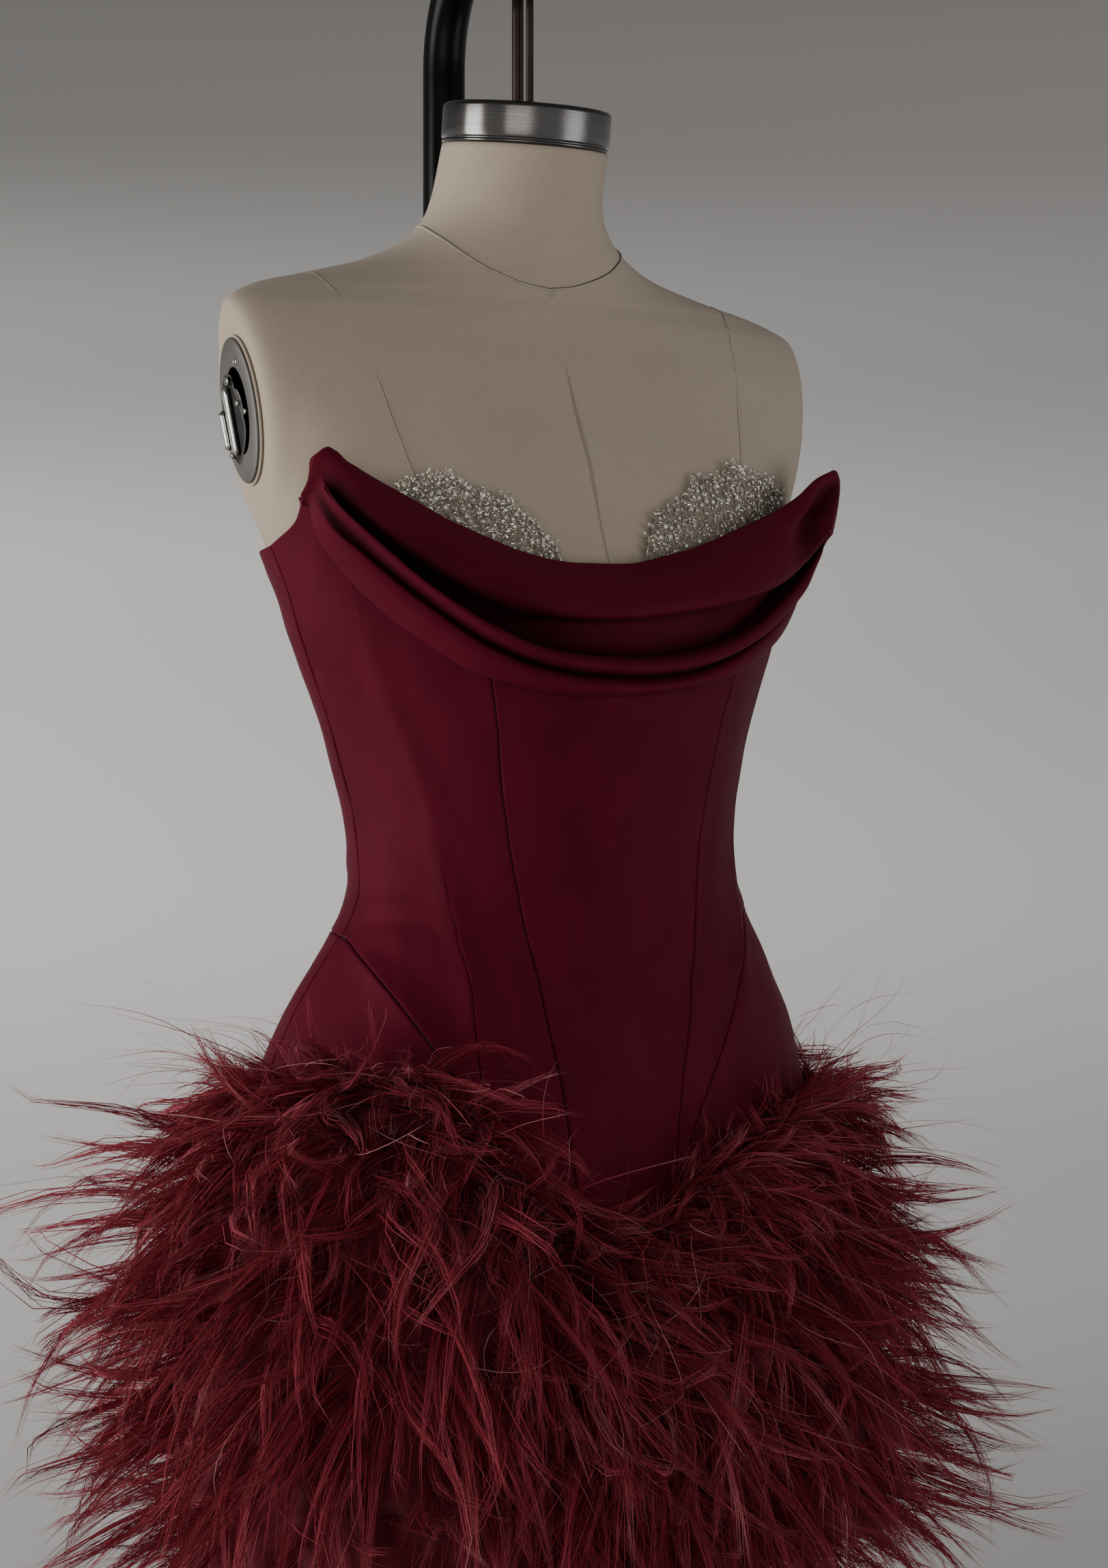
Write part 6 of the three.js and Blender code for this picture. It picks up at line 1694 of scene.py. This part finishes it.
def edge_wisps():
    """Single plumes that stand up out of the mass, each unlike the next."""
    rng = np.random.default_rng(977)
    count = 50
    psi = even_angles(905.0, count, rng, 0.5)
    psi = psi[(psi < -104) | (psi > 64) | (np.abs(psi) < 6)]
    count = len(psi)
    z = feather_line(psi) + rng.normal(-6, 5, count)
    parts = [plumes(rng, psi, z, rng.uniform(44, 78, count), rng.normal(38, 14, count), rng.uniform(0, 60, count), rng.normal(0, 28, count), rng.normal(0, 60, count), 2, 16, 8, root_r=4.5, fan=9, loose=1.3, tone=0.09, curl=1.1, width=0.6)]
    # those that the photograph shows: angle, height of the root, lift, droop, yaw, sweep, length
    known = np.array([
        (-50, 862, 52, 8, -38, -20, 84), (-50, 864, 60, 12, -18, -16, 76), (-48, 866, 66, 14, 4, 18, 60), (-54, 866, 44, 20, -30, 30, 70),
        (-39.5, 874, 70, 6, 4, 10, 58), (-38, 872, 62, 10, 20, -30, 56), (-42, 870, 50, 24, -14, 40, 48),
        (-23, 850, 62, 4, 14, 24, 60), (-21, 846, 52, 18, 30, -28, 54), (-26, 852, 66, 16, -8, 16, 48),
        (-67, 884, 46, 22, -30, -18, 96), (-70, 890, 58, 24, -10, 26, 70), (-62, 884, 40, 26, 12, -24, 74), (-76, 892, 52, 30, -26, 20, 92),
        (-84, 898, 50, 26, 10, 30, 74), (-92, 902, 56, 20, -12, 26, 70), (-99, 900, 64, 14, 8, -20, 56),
        (9, 838, 58, 14, -16, -18, 44), (13, 846, 50, 30, 20, 34, 52), (18, 852, 62, 22, -6, 30, 48),
        (34, 856, 56, 6, 10, 16, 58), (40, 862, 60, 10, -14, -24, 64), (46, 866, 48, 22, 24, 26, 66), (52, 868, 66, 6, -4, 18, 70),
        (60, 872, 70, 2, -8, 12, 76), (63, 874, 58, 16, 18, 22, 72), (57, 870, 50, 26, -24, -20, 58),
        (-6, 816, 40, 24, -20, 18, 40), (4, 818, 44, 20, 18, -16, 40),
    ], float)
    a, zz, e, dr, yw, sw, ln = known.T
    parts.append(plumes(rng, a, zz, ln, e, dr, yw, sw, 2, 22, 8, root_r=4.0, fan=5, loose=1.3, tone=0.12, curl=0.9, width=0.62))
    return parts


def painted_highlight_barbs():
    """Long fine barbs painted paler over the rest, as painted highlights."""
    rng = np.random.default_rng(991)
    parts = []
    for frac, lift_, droop_, long_, count in ((0.0, 34, 70, 132, 250), (0.12, 18, 66, 148, 250), (0.28, 4, 60, 158, 230), (0.46, -10, 54, 160, 200)):
        psi = even_angles(lerp(900.0, FEATHER_FOOT, frac), count, rng, 0.5)
        z = lerp(feather_line(psi), FEATHER_FOOT, frac)
        parts.append(plumes(rng, psi, z, long_ * rng.uniform(0.7, 1.15, count), rng.normal(lift_, 14, count), droop_ * rng.uniform(0.5, 1.3, count), rng.normal(0, 26, count), rng.normal(0, 60, count),
                            1, 1, 11, root_r=3, fan=6, loose=0.8, tone=0.20, stray=0.0, curl=3.0, width=0.56, root_shade=0.15))
    return parts


feathers = [
    gathered("feathers_top", [row_parts(0), row_parts(1)], "feathers", "feather_tier_top"),
    gathered("feathers_middle", [row_parts(2), row_parts(3)], "feathers", "feather_tier_middle"),
    gathered("feathers_hem", [row_parts(4), row_parts(5), row_parts(6)], "feathers", "feather_tier_hem"),
    gathered("feathers_foot", [row_parts(7)], "feathers"),
    gathered("feathers_edge", [edge_fluff()] + edge_wisps(), "feathers"),
    gathered("feathers_painted_highlights", painted_highlight_barbs(), "feathers"),
]

# down close to the skirt, that closes the gaps between the plumes
DOWN_REACH = Curve(FEATHER_REACH[:, 0], FEATHER_REACH[:, 1])
ni, nj = 150, 34
a_ = np.linspace(-175.5, 175.5, ni)[:, None]
t_ = np.linspace(0, 1, nj)[None]
start_z = feather_line(a_) - 5.0
zz = lerp(start_z, 640.0, t_)
aa = a_ + 0 * zz
depth = feather_line(aa) - zz
lump = 1 + 0.30 * wander(np.stack([aa * 2.6, zz, 0 * zz], -1), 411, 26.0) + 0.16 * wander(np.stack([aa * 2.6, zz * 0.4, 0 * zz], -1), 412, 9.0)
reach = np.interp(depth, [0, 8, 30, 70, 130, 260], [1.2, 4.0, 13.0, 26.0, 36.0, 44.0]) * np.clip(lump, 0.55, 1.5)
reach = reach * np.interp(np.abs(aa), [0, 14, 30, 152, 172, 176], [0.55, 0.7, 1.0, 1.0, 0.30, 0.15])
outer = skin(zz, aa, OUTER + 2.6 + reach)
outer[..., :2] += (0.9 * wander(outer, 413, 6.0))[..., None] * unit(outer[..., :2])
inner = skin(zz, aa, OUTER + 1.9 + 0 * reach)
co, f, uv = shell_of(outer, inner, grid_map(outer), 0.1)
down = add(mesh_object("feather_down", co, tris_of(f), FLUFF, uv=uv), "feathers")
feathers.append(down)

# the bands that the plumes are bound to, sewn round the skirt under them
bands = []
for k, row in enumerate(ROWS):
    a = np.linspace(-176.8, 176.8, 72)
    z = lerp(feather_line(a), FEATHER_FOOT, row[0]) - (4.0 if k == 0 else 0)
    w = np.linspace(-4.5, 4.5, 3)
    zz = z[:, None] + w[None]
    aa = a[:, None] + 0 * zz
    o = OUTER + 1.05 + 0.25 * np.cos(w / 4.5 * np.pi / 2)[None] + 0.12 * np.sin(aa * 3.1)
    outer, inner = skin(zz, aa, o), skin(zz, aa, o - 0.7)
    co, f, uv = shell_of(outer, inner, grid_map(outer), 0.3)
    bands.append(mesh_object("band_%d" % k, co, tris_of(f), ZIP, uv=uv))
feather_bands = add(joined("feather_bands", bands), "feathers")
feathers.append(feather_bands)

# ------------------------------------------------------------- floor and light
n, rings = 96, np.array([0.0, 300, 700, 1100, 1500, 1800, 2050, 2200])
a = np.linspace(0, 2 * np.pi, n, endpoint=False)
co = np.concatenate([[[0, 0, 0]]] + [np.stack([r * np.cos(a), r * np.sin(a), np.zeros(n)], 1) for r in rings[1:]]) - [0, 0, 0.6]
k, k2 = np.arange(n), (np.arange(n) + 1) % n
f = [np.stack([np.zeros(n, int), 1 + k, 1 + k2], 1)]
for r in range(len(rings) - 2):
    lo, hi = 1 + r * n, 1 + (r + 1) * n
    f.append(np.stack([lo + k, hi + k, hi + k2], 1))
    f.append(np.stack([lo + k, hi + k2, lo + k2], 1))
paper = Mat("studio_floor", Roughness=0.85, Specular_IOR_Level=0.2)
pn = paper.noise(paper.place(), 3.0, 4.0)
paper.color(paper.ramp(pn, [(0.3, (0.40, 0.385, 0.375)), (0.7, (0.43, 0.415, 0.405))]))
grad = paper.node("TexGradient", gradient_type="SPHERICAL")
paper.l.new(paper.scaled(paper.place(), 1 / 2.2, 1 / 2.2, 0.0), grad.inputs["Vector"])
fade = paper.node("MapRange", interpolation_type="SMOOTHSTEP")
fade.inputs["From Min"].default_value = 0.02
fade.inputs["From Max"].default_value = 0.42
paper.l.new(grad.outputs["Fac"], fade.inputs["Value"])
paper.l.new(fade.outputs["Result"], paper.p.inputs["Alpha"])
floor = mesh_object("floor_disc", co, np.concatenate(f), paper.m, uv=co[:, :2])

to_left, to_camera = np.array([-0.8660254, 0.5, 0]), np.array([-0.5, -0.8660254, 0])


def lamp(name, direction, distance, height, size, power, color, aim=1.1, shape="RECTANGLE", size_y=None):
    data = bpy.data.lights.new(name, "AREA")
    data.shape = shape
    data.size = size
    if size_y:
        data.size_y = size_y
    data.energy = power
    data.color = color
    ob = bpy.data.objects.new(name, data)
    p = Vector(direction) * distance
    ob.location = (p.x, p.y, height)
    ob.rotation_mode = "QUATERNION"
    ob.rotation_quaternion = (Vector((0, 0, aim)) - ob.location).to_track_quat("-Z", "Y")
    bpy.context.scene.collection.objects.link(ob)
    return ob


def around(angle):
    """A level direction, from image left (0) round towards the camera (90)."""
    return to_left * math.cos(rad(angle)) + to_camera * math.sin(rad(angle))


lamp("key_light", around(14), 2.3, 1.15, 1.0, 48, (1.0, 0.985, 0.96), 1.1, size_y=1.6)
lamp("fill_light", around(80), 2.9, 1.35, 1.8, 13, (1.0, 0.99, 0.975), 1.2, size_y=1.2)
lamp("right_light", around(160), 2.6, 1.1, 1.3, 15, (0.98, 0.985, 1.0), 1.1, size_y=1.5)

world = bpy.data.worlds.new("studio")
bpy.context.scene.world = world
world.use_nodes = True
wn, wl = world.node_tree.nodes, world.node_tree.links
bg = wn["Background"]
tc = wn.new("ShaderNodeTexCoord")


def along(vector, low, high):
    """Where the looked-in direction lies along a vector, as 0 to 1."""
    d = wn.new("ShaderNodeVectorMath")
    d.operation = "DOT_PRODUCT"
    wl.new(tc.outputs["Generated"], d.inputs[0])
    d.inputs[1].default_value = vector
    r = wn.new("ShaderNodeMapRange")
    r.inputs["From Min"].default_value, r.inputs["From Max"].default_value = low, high
    wl.new(d.outputs["Value"], r.inputs["Value"])
    return r.outputs["Result"]


def stops(fac, colors):
    r = wn.new("ShaderNodeValToRGB")
    r.color_ramp.interpolation = "EASE"
    while len(r.color_ramp.elements) < len(colors):
        r.color_ramp.elements.new(0.5)
    for e, (at, c) in zip(r.color_ramp.elements, colors):
        e.position, e.color = at, (*c, 1)
    wl.new(fac, r.inputs["Fac"])
    return r.outputs["Color"]


up = along((0, 0, 1), -1.0, 1.0)
side_to = along((0.8660254, -0.5, 0), -0.16, 0.16)
ahead = along((0.5, 0.8660254, 0), -0.35, 0.75)
left_c = stops(up, [(0.0, (0.20, 0.193, 0.187)), (0.38, (0.37, 0.357, 0.345)), (0.435, (0.50, 0.483, 0.467)), (0.485, (0.68, 0.66, 0.64)), (0.53, (0.63, 0.61, 0.59)), (0.565, (0.38, 0.365, 0.35)), (0.60, (0.185, 0.177, 0.170)), (0.64, (0.125, 0.120, 0.115)), (1.0, (0.115, 0.110, 0.106))])
right_c = stops(up, [(0.0, (0.20, 0.193, 0.187)), (0.38, (0.25, 0.241, 0.234)), (0.435, (0.36, 0.350, 0.341)), (0.485, (0.47, 0.46, 0.45)), (0.53, (0.40, 0.395, 0.39)), (0.565, (0.28, 0.27, 0.265)), (0.60, (0.195, 0.184, 0.176)), (0.64, (0.135, 0.127, 0.122)), (1.0, (0.115, 0.110, 0.106))])
room_c = stops(up, [(0.0, (0.24, 0.232, 0.225)), (0.38, (0.46, 0.448, 0.436)), (0.52, (0.50, 0.488, 0.476)), (0.64, (0.26, 0.252, 0.244)), (0.74, (0.115, 0.110, 0.106)), (1.0, (0.10, 0.096, 0.092))])


def mixed(fac, a, b):
    m = wn.new("ShaderNodeMix")
    m.data_type = "RGBA"
    wl.new(fac, m.inputs[0])
    wl.new(a, m.inputs[6])
    wl.new(b, m.inputs[7])
    return m.outputs[2]


wl.new(mixed(ahead, room_c, mixed(side_to, left_c, right_c)), bg.inputs["Color"])
bg.inputs["Strength"].default_value = 1.0

# ------------------------------------------------------- what each soft piece is
for name, (size, area, held, rests) in FLAT.items():
    w, h = size[0] * 0.001, size[1] * 0.001
